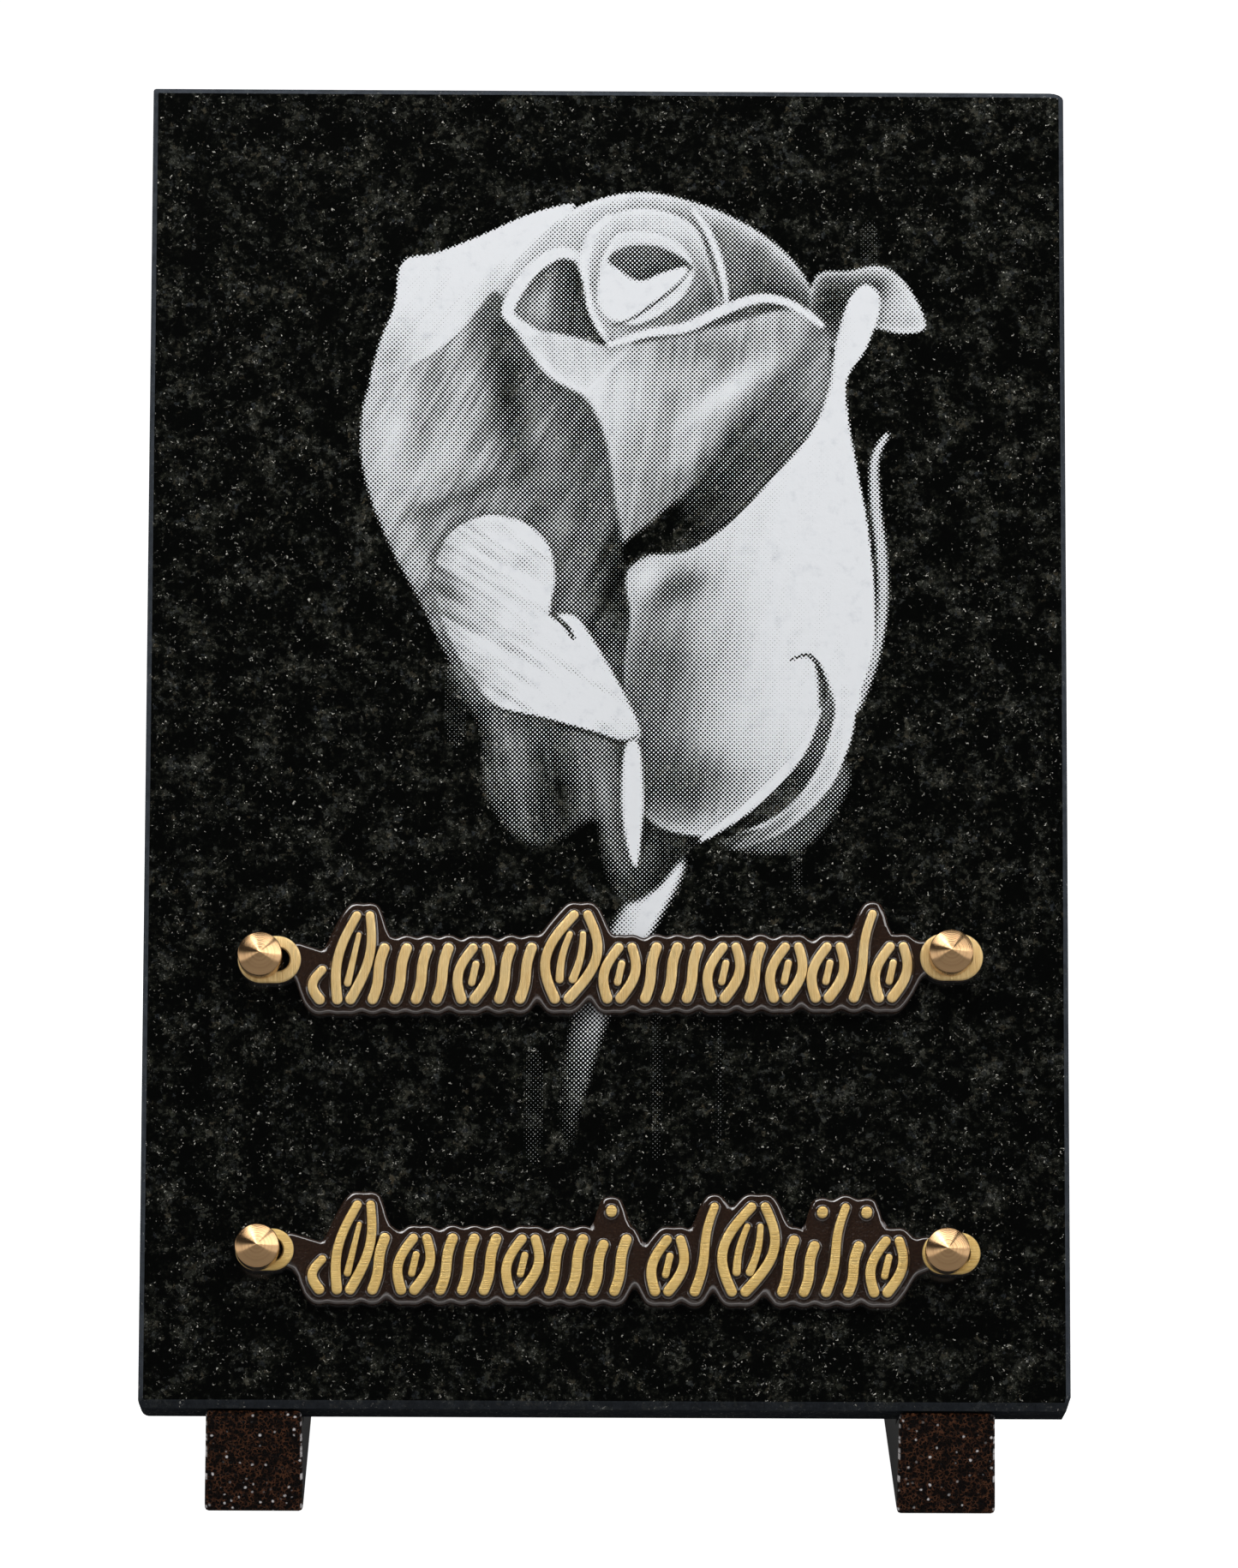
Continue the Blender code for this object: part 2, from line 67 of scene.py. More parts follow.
class Value:
    """A shader socket that takes part in arithmetic: each operation adds its Math node."""

    def __init__(self, graph: "Graph", socket: bpy.types.NodeSocket) -> None:
        """Wrap a socket of the graph."""
        self.graph = graph
        self.socket = socket

    def math(self, operation: str, other: Union[float, "Value"] = 0.0, mirrored: bool = False) -> "Value":
        """One Math node.

        Args:
            operation: the Math node's operation.
            other: the second number or socket.
            mirrored: whether the other comes first.

        Returns:
            The node's result.
        """
        sockets = dict(enumerate((other, self) if mirrored else (self, other)))
        return Value(self.graph, self.graph.node("ShaderNodeMath", {"operation": operation}, sockets).outputs[0])

    def __add__(self, other: Union[float, "Value"]) -> "Value":
        """The sum."""
        return self.math("ADD", other)

    def __sub__(self, other: Union[float, "Value"]) -> "Value":
        """The difference."""
        return self.math("SUBTRACT", other)

    def __rsub__(self, other: float) -> "Value":
        """The difference from a number."""
        return self.math("SUBTRACT", other, mirrored=True)

    def __mul__(self, other: Union[float, "Value"]) -> "Value":
        """The product."""
        return self.math("MULTIPLY", other)

    def __pow__(self, other: Union[float, "Value"]) -> "Value":
        """The power."""
        return self.math("POWER", other)

    __radd__ = __add__
    __rmul__ = __mul__

    def smooth(self, low: float, high: float) -> "Value":
        """A soft step over this value.

        Args:
            low: where it leaves 0.
            high: where it reaches 1.

        Returns:
            The step, from 0 to 1.
        """
        settings = {"interpolation_type": "SMOOTHSTEP"}
        sockets = {"Value": self, "From Min": low, "From Max": high}
        return Value(self.graph, self.graph.node("ShaderNodeMapRange", settings, sockets).outputs[0])

    def between(self, low: float, high: float) -> "Value":
        """The number at this share of the way from one to another."""
        return self * (high - low) + low

    def wave(self) -> "Value":
        """A sine wave of this angle, from 0 to 1."""
        return self.math("SINE").between(0.5, 1.0)


@dataclass(frozen=True)
class Noise:
    """A noise pattern: its scale, its detail and how rough it is."""

    scale: float
    detail: float = 2.0
    rough: float = 0.5


class Graph:
    """The nodes of one material or world."""

    def __init__(self, tree: bpy.types.NodeTree) -> None:
        """Start from an empty tree."""
        self.tree = tree
        tree.nodes.clear()

    def node(self, kind: str, settings: Optional[dict] = None, sockets: Optional[dict] = None) -> bpy.types.Node:
        """Add any node.

        Args:
            kind: the node's type.
            settings: its settings, set first; "stops" gives a colour ramp's places and colours.
            sockets: a number, colour, Value or socket for each input, by name or by place.

        Returns:
            The node.
        """
        made = self.tree.nodes.new(kind)
        for name, setting in (settings or {}).items():
            if name == "stops":
                self._set_stops(made.color_ramp.elements, setting)
            else:
                setattr(made, name, setting)
        for name, given in (sockets or {}).items():
            given = given.socket if isinstance(given, Value) else given
            if isinstance(given, bpy.types.NodeSocket):
                self.tree.links.new(given, made.inputs[name])
            else:
                made.inputs[name].default_value = given
        return made

    @staticmethod
    def _set_stops(elements: bpy.types.bpy_prop_collection, stops: Sequence[tuple[float, Color]]) -> None:
        """Give a colour ramp its stops.

        Args:
            elements: the ramp's own stops, which are two at first.
            stops: the places and colours.
        """
        while len(elements) < len(stops):
            elements.new(0.5)
        for element, (place, color) in zip(elements, stops):
            element.position = place
            element.color = (*color, 1.0)

    def value(self, socket: bpy.types.NodeSocket) -> Value:
        """A socket ready for arithmetic."""
        return Value(self, socket)

    def parts(self, vector: bpy.types.NodeSocket) -> tuple[Value, Value, Value]:
        """The three numbers of a vector or colour."""
        split = self.node("ShaderNodeSeparateXYZ", sockets={0: vector})
        return tuple(self.value(output) for output in split.outputs)

    def mix(self, factor: Union[float, Value], first: object, second: object) -> bpy.types.NodeSocket:
        """A colour between two colours.

        Args:
            factor: the second colour's share.
            first: a colour or socket.
            second: a colour or socket.

        Returns:
            The mixed colour.
        """
        def whole(color: object) -> object:
            """A plain colour with its alpha."""
            return (*color, 1.0) if isinstance(color, tuple) else color

        sockets = {0: factor, 6: whole(first), 7: whole(second)}
        return self.node("ShaderNodeMix", {"data_type": "RGBA"}, sockets).outputs[2]

    def ramp(self, value: Value, stops: Sequence[tuple[float, Color]]) -> bpy.types.NodeSocket:
        """A colour looked up in a ramp of stops."""
        return self.node("ShaderNodeValToRGB", {"stops": stops}, {0: value}).outputs[0]

    def noise(self, place: bpy.types.NodeSocket, kind: Noise) -> Value:
        """A noise pattern over a place, about 0.5."""
        sockets = {"Vector": place, "Scale": kind.scale, "Detail": kind.detail, "Roughness": kind.rough}
        return self.value(self.node("ShaderNodeTexNoise", sockets=sockets).outputs[0])

    def cells(self, place: bpy.types.NodeSocket, scale: float) -> tuple[Value, Value, Value, Value]:
        """Random cells: three random numbers of each cell, and the distance from its middle."""
        made = self.node("ShaderNodeTexVoronoi", sockets={"Vector": place, "Scale": scale})
        return (*self.parts(made.outputs["Color"]), self.value(made.outputs["Distance"]))

    def moved(self, place: bpy.types.NodeSocket, scale: float, reach: float) -> bpy.types.NodeSocket:
        """A place moved about by noise, which makes what reads it ragged.

        Args:
            place: the place.
            scale: the noise's scale.
            reach: how far the place is moved, twice over.

        Returns:
            The moved place.
        """
        drift = self.node("ShaderNodeTexNoise", sockets={"Vector": place, "Scale": scale, "Detail": 3.0})
        settings = {"operation": "MULTIPLY_ADD"}
        return self.node("ShaderNodeVectorMath", settings, {0: drift.outputs[1], 1: (reach,) * 3, 2: place}).outputs[0]

    def stretched(self, place: bpy.types.NodeSocket, scale: Triple) -> bpy.types.NodeSocket:
        """A place scaled by its own amount each way, for streaks."""
        return self.node("ShaderNodeVectorMath", {"operation": "MULTIPLY"}, {0: place, 1: scale}).outputs[0]

    def bump(self, height: Value, distance: float, strength: float = 1.0) -> bpy.types.NodeSocket:
        """A normal from a height of 0 to 1 over a distance."""
        sockets = {"Height": height, "Distance": distance, "Strength": strength}
        return self.node("ShaderNodeBump", sockets=sockets).outputs[0]


@dataclass(frozen=True)
class SlabAxes:
    """The slab's own axes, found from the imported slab's box."""

    lean: float = math.radians(21.5)
    thickness: float = 0.020
    height: float = 0.320
    bottom_chamfer: float = 0.0019
    back_arris: float = 0.0006

    def origin(self) -> Vector:
        """Where the slab's axes start.

        Returns:
            The middle of the slab's bottom edge, in the plane of its polished face.
        """
        low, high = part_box("granite_slab")
        drop = (self.thickness - self.back_arris) * math.sin(self.lean)
        return Vector(((low[0] + high[0]) / 2, low[1] - self.bottom_chamfer * math.sin(self.lean), low[2] + drop))

    def matrix(self) -> Matrix:
        """From the slab's axes to the model's frame."""
        return Matrix.Translation(self.origin()) @ Matrix.Rotation(math.pi / 2 - self.lean, 4, "X")

    def place(self, graph: Graph) -> bpy.types.NodeSocket:
        """The shaded point in the slab's axes.

        Args:
            graph: the material's nodes.

        Returns:
            The point.
        """
        coordinates = graph.node("ShaderNodeTexCoord").outputs["Object"]
        turn = (math.pi / 2 - self.lean, 0.0, 0.0)
        sockets = {"Vector": coordinates, "Location": self.origin(), "Rotation": turn}
        return graph.node("ShaderNodeMapping", {"vector_type": "TEXTURE"}, sockets).outputs[0]


@dataclass(frozen=True)
class Finish:
    """A finish: its name, and what all its surface shares."""

    axes: SlabAxes
    name: str = "finish"
    specular: float = 0.5
    coat_ior: float = 1.5

    def paint(self, graph: Graph, place: bpy.types.NodeSocket) -> dict:
        """The Principled sockets that change over the surface, from the place in the slab's axes."""
        raise NotImplementedError

    def make(self) -> bpy.types.Material:
        """Make the finish's nodes.

        Returns:
            The finish as a material.
        """
        made = bpy.data.materials.new(self.name)
        made.use_nodes = True
        graph = Graph(made.node_tree)
        sockets = self.paint(graph, self.axes.place(graph))
        sockets |= {"Specular IOR Level": self.specular, "Coat IOR": self.coat_ior}
        shader = graph.node("ShaderNodeBsdfPrincipled", sockets=sockets)
        graph.node("ShaderNodeOutputMaterial", sockets={"Surface": shader.outputs[0]})
        return made


@dataclass(frozen=True)
class Granite(Finish):
    """Black granite with olive, grey and blue flecks, and what its finishes share."""

    name: str = "granite"
    ground: Color = (0.0011, 0.0013, 0.0011)
    haze: Color = (0.0075, 0.0080, 0.0060)
    haze_range: Range = (0.46, 0.66)
    mottle: Noise = Noise(576.0, 6.0, 0.75)
    patches: Noise = Noise(128.0, 4.0, 0.6)
    patch_share: float = 0.8
    drift: float = 1024.0
    drift_reach: float = 0.0028125
    crystal_cells: float = 896.0
    crystal_share: float = 0.22
    crystal_range: Range = (0.66, 0.78)
    tints: tuple[tuple[float, Color], ...] = (
        (0.0, (0.020, 0.021, 0.014)), (0.35, (0.030, 0.032, 0.027)), (0.55, (0.020, 0.023, 0.027)),
        (0.75, (0.044, 0.045, 0.037)), (1.0, (0.040, 0.033, 0.021)),
    )
    fleck: Color = (0.130, 0.128, 0.110)
    specks: Noise = Noise(1664.0, 5.0, 0.8)
    speck_share: float = 0.55
    speck_range: Range = (0.62, 0.76)
    glint: Color = (0.62, 0.60, 0.54)
    glint_cells: float = 1920.0
    glint_share: float = 0.16
    glint_range: Range = (1.01, 1.07)
    glint_size: Range = (0.2, 0.5)

    def crystals(self, graph: Graph, place: bpy.types.NodeSocket) -> bpy.types.NodeSocket:
        """The stone's own colour.

        Args:
            graph: the material's nodes.
            place: the place in the slab's axes.

        Returns:
            The colour.
        """
        patches = graph.noise(place, self.patches)
        ragged = graph.moved(place, self.drift, self.drift_reach)
        mottle = graph.noise(place, self.mottle) + (patches - 0.5) * self.patch_share
        color = graph.mix(mottle.smooth(*self.haze_range), self.ground, self.haze)
        pick, tint, light, _ = graph.cells(ragged, self.crystal_cells)
        crystal = (mottle + pick * self.crystal_share).smooth(*self.crystal_range) * light
        color = graph.mix(crystal, color, graph.ramp(tint, self.tints))
        specks = graph.noise(place, self.specks) + (mottle - 0.5) * self.speck_share
        color = graph.mix(specks.smooth(*self.speck_range), color, self.fleck)
        pick, _, light, middle = graph.cells(ragged, self.glint_cells)
        glint = (pick + mottle * self.glint_share).smooth(*self.glint_range) * light
        return graph.mix(glint * (1 - middle.smooth(*self.glint_size)), color, self.glint)


@dataclass(frozen=True)
class PolishedGranite(Granite):
    """The polished face with the rose printed on it in white dots."""

    name: str = "polished granite with a printed rose"
    specular: float = 0.35
    dot_spacing: float = 0.00107
    dot_edge: float = 0.10
    dot_spread: float = 0.08
    flaws: Noise = Noise(900.0, 3.0, 0.7)
    flaw_share: float = 0.12
    white: Color = (0.735, 0.75, 0.775)
    worn_white: Color = (0.60, 0.62, 0.655)
    wear: Noise = Noise(260.0, 5.0, 0.7)
    wear_range: Range = (0.50, 0.80)
    relief: Noise = Noise(350.0, 4.0, 0.6)
    relief_depth: float = 0.00012
    relief_strength: float = 0.6
    roughness: Range = (0.13, 0.55)

    def paint(self, graph: Graph, place: bpy.types.NodeSocket) -> dict:
        """Stone, with white where the rose's tone passes the dot screen.

        Args:
            graph: the material's nodes.
            place: the place in the slab's axes.

        Returns:
            The sockets, by name.
        """
        across, up, _ = graph.parts(place)
        turns = 2 * math.pi / self.dot_spacing
        screen = ((across + up) * turns).math("COSINE") + ((across - up) * turns).math("COSINE")
        settings = {"attribute_type": "GEOMETRY", "attribute_name": Rose.attribute}
        tone = graph.value(graph.node("ShaderNodeAttribute", settings).outputs["Fac"])
        flaw = (graph.noise(place, self.flaws) - 0.5) * tone * self.flaw_share
        passed = tone * (1 + 2 * self.dot_spread) + flaw - self.dot_spread - (screen * 0.25 + 0.5)
        printed = passed.smooth(-self.dot_edge / 2, self.dot_edge / 2)
        white = graph.mix(graph.noise(place, self.wear).smooth(*self.wear_range), self.white, self.worn_white)
        relief = graph.noise(place, self.relief) * printed
        return {
            "Base Color": graph.mix(printed, self.crystals(graph, place), white),
            "Roughness": printed.between(*self.roughness),
            "Normal": graph.bump(relief, self.relief_depth, self.relief_strength),
        }


@dataclass(frozen=True)
class HonedGranite(Granite):
    """The chamfers and narrow sides, rubbed down but not polished, so that they look pale and blue."""

    name: str = "honed granite"
    specular: float = 0.0
    pale: Color = (0.072, 0.082, 0.098)
    bloom: float = 0.45
    scuffs: Noise = Noise(420.0, 4.0, 0.65)
    scuff_range: Range = (0.2, 0.8)
    scuff_share: float = 0.35
    scratches: Noise = Noise(1.0, 3.0, 0.7)
    scratch_scale: Triple = (1500.0, 150.0, 1500.0)
    scratch_share: float = 0.5
    # Painted shade: the levels over which the bloom thins towards the bottom edge, and its share there
    shaded_low_edge: Range = (0.0012, 0.0045)
    shaded_bloom_share: float = 0.45
    roughness: Range = (0.42, 0.67)
    relief_depth: float = 0.00008

    def paint(self, graph: Graph, place: bpy.types.NodeSocket) -> dict:
        """Stone under a pale bloom, with fine scratches along the edges, and painted shade that thins the bloom on the
        bottom chamfer.

        Args:
            graph: the material's nodes.
            place: the place in the slab's axes.

        Returns:
            The sockets, by name.
        """
        scratches = graph.noise(graph.stretched(place, self.scratch_scale), self.scratches)
        scuffs = graph.noise(place, self.scuffs)
        _, up, _ = graph.parts(place)
        bloom = scuffs.smooth(*self.scuff_range) * self.scuff_share + self.bloom
        bloom = bloom + (scratches - 0.5) * self.scratch_share
        # Painted shade: less pale bloom towards the bottom edge, which darkens the bottom chamfer
        bloom = bloom * up.smooth(*self.shaded_low_edge).between(self.shaded_bloom_share, 1.0)
        return {
            "Base Color": graph.mix(bloom, self.crystals(graph, place), self.pale),
            "Roughness": scuffs.between(*self.roughness),
            "Normal": graph.bump(scuffs + scratches, self.relief_depth),
        }


@dataclass(frozen=True)
class SawnGranite(Granite):
    """The back, as the saw left it: dull grey with long shallow arcs."""

    name: str = "sawn granite"
    specular: float = 0.3
    dull: Color = (0.050, 0.053, 0.056)
    dull_share: float = 0.62
    blade_radius: float = 0.45
    arcs: float = 2600.0
    arc_share: float = 0.16
    arc_drift: Noise = Noise(60.0)
    arc_reach: float = 0.002
    grit: Noise = Noise(1400.0, 3.0, 0.7)
    grit_share: float = 0.5
    roughness: Range = (0.55, 0.75)
    relief_depth: float = 0.0001

    def paint(self, graph: Graph, place: bpy.types.NodeSocket) -> dict:
        """Stone under a dull skin, with the arcs of a big round blade.

        Args:
            graph: the material's nodes.
            place: the place in the slab's axes.

        Returns:
            The sockets, by name.
        """
        across, up, _ = graph.parts(place)
        radius = (across * across + (up + self.blade_radius) ** 2.0) ** 0.5
        arcs = ((radius + graph.noise(place, self.arc_drift) * self.arc_reach) * self.arcs).wave()
        grit = graph.noise(place, self.grit)
        share = self.dull_share + (arcs - 0.5) * self.arc_share + (grit - 0.5) * self.grit_share
        return {
            "Base Color": graph.mix(share, self.crystals(graph, place), self.dull),
            "Roughness": grit.between(*self.roughness),
            "Normal": graph.bump(arcs * 0.5 + grit, self.relief_depth),
        }


class Brushing(Enum):
    """Which way a strip's raised strokes were brushed: the streaks' scale across, up and out."""

    UPRIGHT = (3600.0, 180.0, 180.0)
    LEVEL = (180.0, 3600.0, 180.0)


@dataclass(frozen=True)
class CastBronze(Finish):
    """A cast strip: bare brushed brass on the strokes and lugs, dark lacquer on the ground and sides."""

    name: str = "cast bronze"
    specular: float = 0.3
    coat_ior: float = 2.0
    brushing: Brushing = Brushing.UPRIGHT
    bare: Color = (0.78, 0.55, 0.23)
    rubbed: Color = (0.62, 0.40, 0.13)
    lacquer: Color = (0.022, 0.011, 0.007)
    lacquer_light: Color = (0.066, 0.038, 0.024)
    bare_from: float = 0.00405
    bare_edge: float = 0.00006
    lug_bare_from: float = 0.0033
    lug_bare_edge: float = 0.0001
    lug_ends: Range = (-0.0735, 0.0745)
    lug_edge: float = 0.0003
    coat_levels: Range = (0.0024, 0.0029)
    streaks: Noise = Noise(1.0, 3.0, 0.6)
    streak_range: Range = (0.28, 0.72)
    streak_share: float = 0.6
    broad: Noise = Noise(170.0, 3.0, 0.6)
    broad_range: Range = (0.3, 0.75)
    grit: Noise = Noise(2400.0, 2.0, 0.7)
    grit_range: Range = (0.45, 0.85)
    pools: Noise = Noise(700.0, 2.0, 0.6)
    metal: Range = (0.05, 1.0)
    lacquer_roughness: float = 0.10
    brushed_roughness: Range = (0.30, 0.50)
    relief_depth: float = 0.00006
    # How much each pattern counts in the relief
    streak_relief: float = 0.8
    grit_relief: float = 0.3
    broad_relief: float = 2.0
    pool_relief: float = 3.0

    def bareness(self, across: Value, out: Value, grit: Value) -> Value:
        """Where the brass is bare.

        Args:
            across: the place across the slab.
            out: the place out of the slab's face.
            grit: the fine noise that frays the strokes' edges.

        Returns:
            1 on the strokes' tops and on the lugs, 0 elsewhere.
        """
        left, right = (across.smooth(end - self.lug_edge, end + self.lug_edge) for end in self.lug_ends)
        level, edge = self.lug_bare_from, self.lug_bare_edge
        on_lug = (1 - left + right) * out.smooth(level - edge, level + edge)
        level, edge = self.bare_from, self.bare_edge
        raised = (out + (grit - 0.5) * (2 * edge)).smooth(level - edge, level + edge)
        return (raised + on_lug).math("MINIMUM", 1.0)

    def paint(self, graph: Graph, place: bpy.types.NodeSocket) -> dict:
        """Brass above the brushing's depth and on the lugs, lacquer elsewhere.

        Args:
            graph: the material's nodes.
            place: the place in the slab's axes.

        Returns:
            The sockets, by name.
        """
        across, _, out = graph.parts(place)
        streaks = graph.noise(graph.stretched(place, self.brushing.value), self.streaks).smooth(*self.streak_range)
        broad = graph.noise(place, self.broad)
        grit = graph.noise(place, self.grit)
        bare = self.bareness(across, out, grit)
        share = broad.smooth(*self.broad_range) * (1 - self.streak_share) + streaks * self.streak_share
        brass = graph.mix(share, self.bare, self.rubbed)
        ground = graph.mix(grit.smooth(*self.grit_range), self.lacquer, self.lacquer_light)
        pools = graph.noise(place, self.pools) * self.pool_relief
        uneven = grit * self.grit_relief + broad * self.broad_relief + pools
        relief = bare * streaks * self.streak_relief + (1 - bare) * uneven
        return {
            "Base Color": graph.mix(bare, ground, brass),
            "Metallic": bare.between(*self.metal),
            "Roughness": bare * streaks.between(*self.brushed_roughness) + self.lacquer_roughness,
            "Coat Weight": (1 - bare) * out.smooth(*self.coat_levels),
            "Normal": graph.bump(relief, self.relief_depth),
        }


@dataclass(frozen=True)
class TurnedBrass(Finish):
    """The cap screws: warm turned brass with the tool's fine rings."""

    name: str = "turned brass"
    warm: Color = (0.72, 0.46, 0.24)
    dark: Color = (0.38, 0.21, 0.095)
    ring_pitch: float = 0.00016
    ring_share: float = 0.2
    bands: Noise = Noise(2600.0, 3.0, 0.7)
    band_range: Range = (0.3, 0.7)
    band_share: float = 0.5
    roughness: Range = (0.12, 0.26)
    relief_depth: float = 0.000022
    screws: tuple[Pair, ...] = ()

    def paint(self, graph: Graph, place: bpy.types.NodeSocket) -> dict:
        """Rings about the nearest screw's middle.

        Args:
            graph: the material's nodes.
            place: the place in the slab's axes.

        Returns:
            The sockets, by name.
        """
        across, up, out = graph.parts(place)
        radii = [((across - x) ** 2.0 + (up - y) ** 2.0) ** 0.5 for x, y in self.screws]
        travel = reduce(lambda nearest, radius: nearest.math("MINIMUM", radius), radii) + out
        rings = (travel * (2 * math.pi / self.ring_pitch)).wave()
        bands = graph.noise(graph.node("ShaderNodeCombineXYZ", sockets={0: travel}).outputs[0], self.bands)
        return {
            "Base Color": graph.mix(bands.smooth(*self.band_range) * self.band_share, self.warm, self.dark),
            "Metallic": 1.0,
            "Roughness": bands.between(*self.roughness),
            "Normal": graph.bump(rings * self.ring_share + bands, self.relief_depth),
        }


@dataclass(frozen=True)
class HammeredPaint(Finish):
    """Stove enamel over the cast feet: black with copper veins, and painted highlights, partly metallic, as white dots
    on the pebbled fronts and along their upright edges.
    """

    name: str = "hammered paint"
    specular: float = 0.10
    ground: Color = (0.0022, 0.0014, 0.0012)
    plain: Color = (0.0085, 0.0075, 0.0075)
    copper: Color = (0.098, 0.038, 0.018)
    # Painted highlight: the near-white colour laid on pebble tops and edges as if they caught the light
    painted_highlight: Color = (0.86, 0.82, 0.82)
    cracks: float = 1000.0
    crack_width: float = 0.17
    crack_drift: float = 1900.0
    crack_reach: float = 0.0012
    patches: Noise = Noise(600.0, 3.0, 0.6)
    patch_range: Range = (0.40, 0.62)
    patch_veins: Range = (0.05, 0.90)
    pebbles: float = 620.0
    pebble_drift: float = 900.0
    pebble_reach: float = 0.0006
    # Painted highlight dots on the pebbles: their size, share, strength, and the levels over which they grow more
    # common towards the bottom
    highlight_dot_size: Range = (0.08, 0.28)
    highlight_dot_range: Range = (0.76, 1.04)
    highlight_dot_strength: Range = (0.0, 0.5)
    highlight_levels: Range = (0.0, 0.026)
    front_depth: float = 0.0012
    edge_band: float = 0.0008
    # Painted highlights along the upright edges: their cells, size and strength, and the dots' share of metal
    edge_glint_cells: float = 900.0
    edge_glint_size: Range = (0.34, 0.54)
    edge_glint_strength: Range = (0.6, 1.0)
    highlight_metal: float = 0.4
    roughness: Range = (0.30, 0.18)
    relief_depth: float = 0.00016

    def on_edges(self, across: Value) -> Value:
        """Where a foot's upright edges are.

        Args:
            across: the place across the model.

        Returns:
            1 on the edges, 0 away from them.
        """
        (left, right) = [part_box(node) for node in Feet.nodes]
        shift = (left[0][0] + left[1][0] + right[0][0] + right[1][0]) / 4
        reach = right[1][0] - shift
        half = (right[1][0] - right[0][0]) / 2
        off = ((across - shift).math("ABSOLUTE") - (reach - half)).math("ABSOLUTE")
        return off.smooth(half - self.edge_band, half - self.edge_band / 2)

    def veins(self, graph: Graph, coordinates: bpy.types.NodeSocket, patches: Value) -> Value:
        """The copper that shows in ragged cracks.

        Args:
            graph: the material's nodes.
            coordinates: the place in the model.
            patches: the broad noise that the copper follows.

        Returns:
            The copper's share.
        """
        ragged = graph.moved(coordinates, self.crack_drift, self.crack_reach)
        sockets = {"Vector": ragged, "Scale": self.cracks}
        cracks = graph.node("ShaderNodeTexVoronoi", {"feature": "DISTANCE_TO_EDGE"}, sockets).outputs["Distance"]
        in_cracks = 1 - graph.value(cracks).smooth(0.0, self.crack_width)
        return in_cracks * patches.smooth(*self.patch_range).between(*self.patch_veins)

    def paint(self, graph: Graph, place: bpy.types.NodeSocket) -> dict:
        """Veins between ragged pebbles on the fronts, painted highlights on the pebbles and upright edges, and plain
        enamel behind them.

        Args:
            graph: the material's nodes.
            place: not used, since the feet don't follow the slab's axes.

        Returns:
            The sockets, by name.
        """
        coordinates = graph.node("ShaderNodeTexCoord").outputs["Object"]
        across, back, up = graph.parts(coordinates)
        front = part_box("foot_left")[0][1]
        on_front = 1 - back.smooth(front + self.front_depth, front + self.front_depth * 2)
        patches = graph.noise(coordinates, self.patches)
        pebbles = graph.moved(coordinates, self.pebble_drift, self.pebble_reach)
        pick, _, light, middle = graph.cells(pebbles, self.pebbles)
        # Painted highlights: more dots towards the bottom of each front
        low_down = up.smooth(*self.highlight_levels).between(1.0, 0.25)
        highlight_dots = (1 - middle.smooth(*self.highlight_dot_size)) * (pick + low_down * 0.5).smooth(*self.highlight_dot_range)
        _, _, own, near = graph.cells(graph.stretched(coordinates, (0.0, 0.0, 1.0)), self.edge_glint_cells)
        edge_glints = self.on_edges(across) * (1 - near.smooth(*self.edge_glint_size)) * own.between(*self.edge_glint_strength)
        # Painted highlights, partly metallic, only on the fronts
        painted_shine = (highlight_dots * light.smooth(*self.highlight_dot_strength) + edge_glints).math("MINIMUM", 1.0) * on_front
        enamel = graph.mix(on_front, self.plain, self.ground)
        enamel = graph.mix(self.veins(graph, coordinates, patches) * on_front, enamel, self.copper)
        relief = (1 - middle ** 2.0) * on_front + patches * 0.3
        return {
            "Base Color": graph.mix(painted_shine, enamel, self.painted_highlight),
            "Metallic": painted_shine * self.highlight_metal,
            "Roughness": on_front.between(*self.roughness),
            "Normal": graph.bump(relief, self.relief_depth),
        }


class Part(Enum):
    """What a mesh is made of, by its name in a mesh's lists."""

    EDGE = "edges"
    FACE = "faces"


class Joining(Enum):
    """What a Boolean does with the second piece."""

    ADD = "UNION"
    CUT = "DIFFERENCE"


def deselect() -> None:
    """Leave nothing selected and nothing active."""
    if bpy.context.object and bpy.context.object.mode != "OBJECT":
        bpy.ops.object.mode_set(mode="OBJECT")
    bpy.ops.object.select_all(action="DESELECT")
    bpy.context.view_layer.objects.active = None


def take(*pieces: bpy.types.Object) -> None:
    """Select these pieces alone.

    Args:
        pieces: the pieces, the active one first.
    """
    deselect()
    for piece in pieces:
        piece.select_set(True)
    bpy.context.view_layer.objects.active = pieces[0]


def copy_of_node(node: str, name: str) -> bpy.types.Object:
    """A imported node's mesh as a new piece, with its loose triangles merged.

    Args:
        node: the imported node.
        name: the piece's name.

    Returns:
        The piece.
    """
    piece = bpy.data.objects.new(name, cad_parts[node].data.copy())
    bpy.context.scene.collection.objects.link(piece)
    piece.data.materials.clear()
    take(piece)
    bpy.ops.object.mode_set(mode="EDIT")
    bpy.ops.mesh.select_all(action="SELECT")
    bpy.ops.mesh.remove_doubles(threshold=MERGE)
    bpy.ops.object.mode_set(mode="OBJECT")
    return piece


def settle(piece: bpy.types.Object, matrix: Matrix) -> None:
    """Move a piece and put its place into its mesh.

    Args:
        piece: the piece.
        matrix: where it goes.
    """
    take(piece)
    piece.matrix_world = matrix
    bpy.ops.object.transform_apply(location=True, rotation=True, scale=True)


def select_where(piece: bpy.types.Object, part: Part, test: Callable[[object], bool]) -> None:
    """Select the edges or faces that pass a test, in edit mode.

    Args:
        piece: the piece in edit mode.
        part: whether edges or faces are tried.
        test: whether one of them is selected.
    """
    bpy.ops.mesh.select_mode(type=part.name)
    bpy.ops.mesh.select_all(action="DESELECT")
    mesh = bmesh.from_edit_mesh(piece.data)
    for element in getattr(mesh, part.value):
        if test(element):
            element.select_set(True)
    mesh.select_flush_mode()
    bmesh.update_edit_mesh(piece.data)


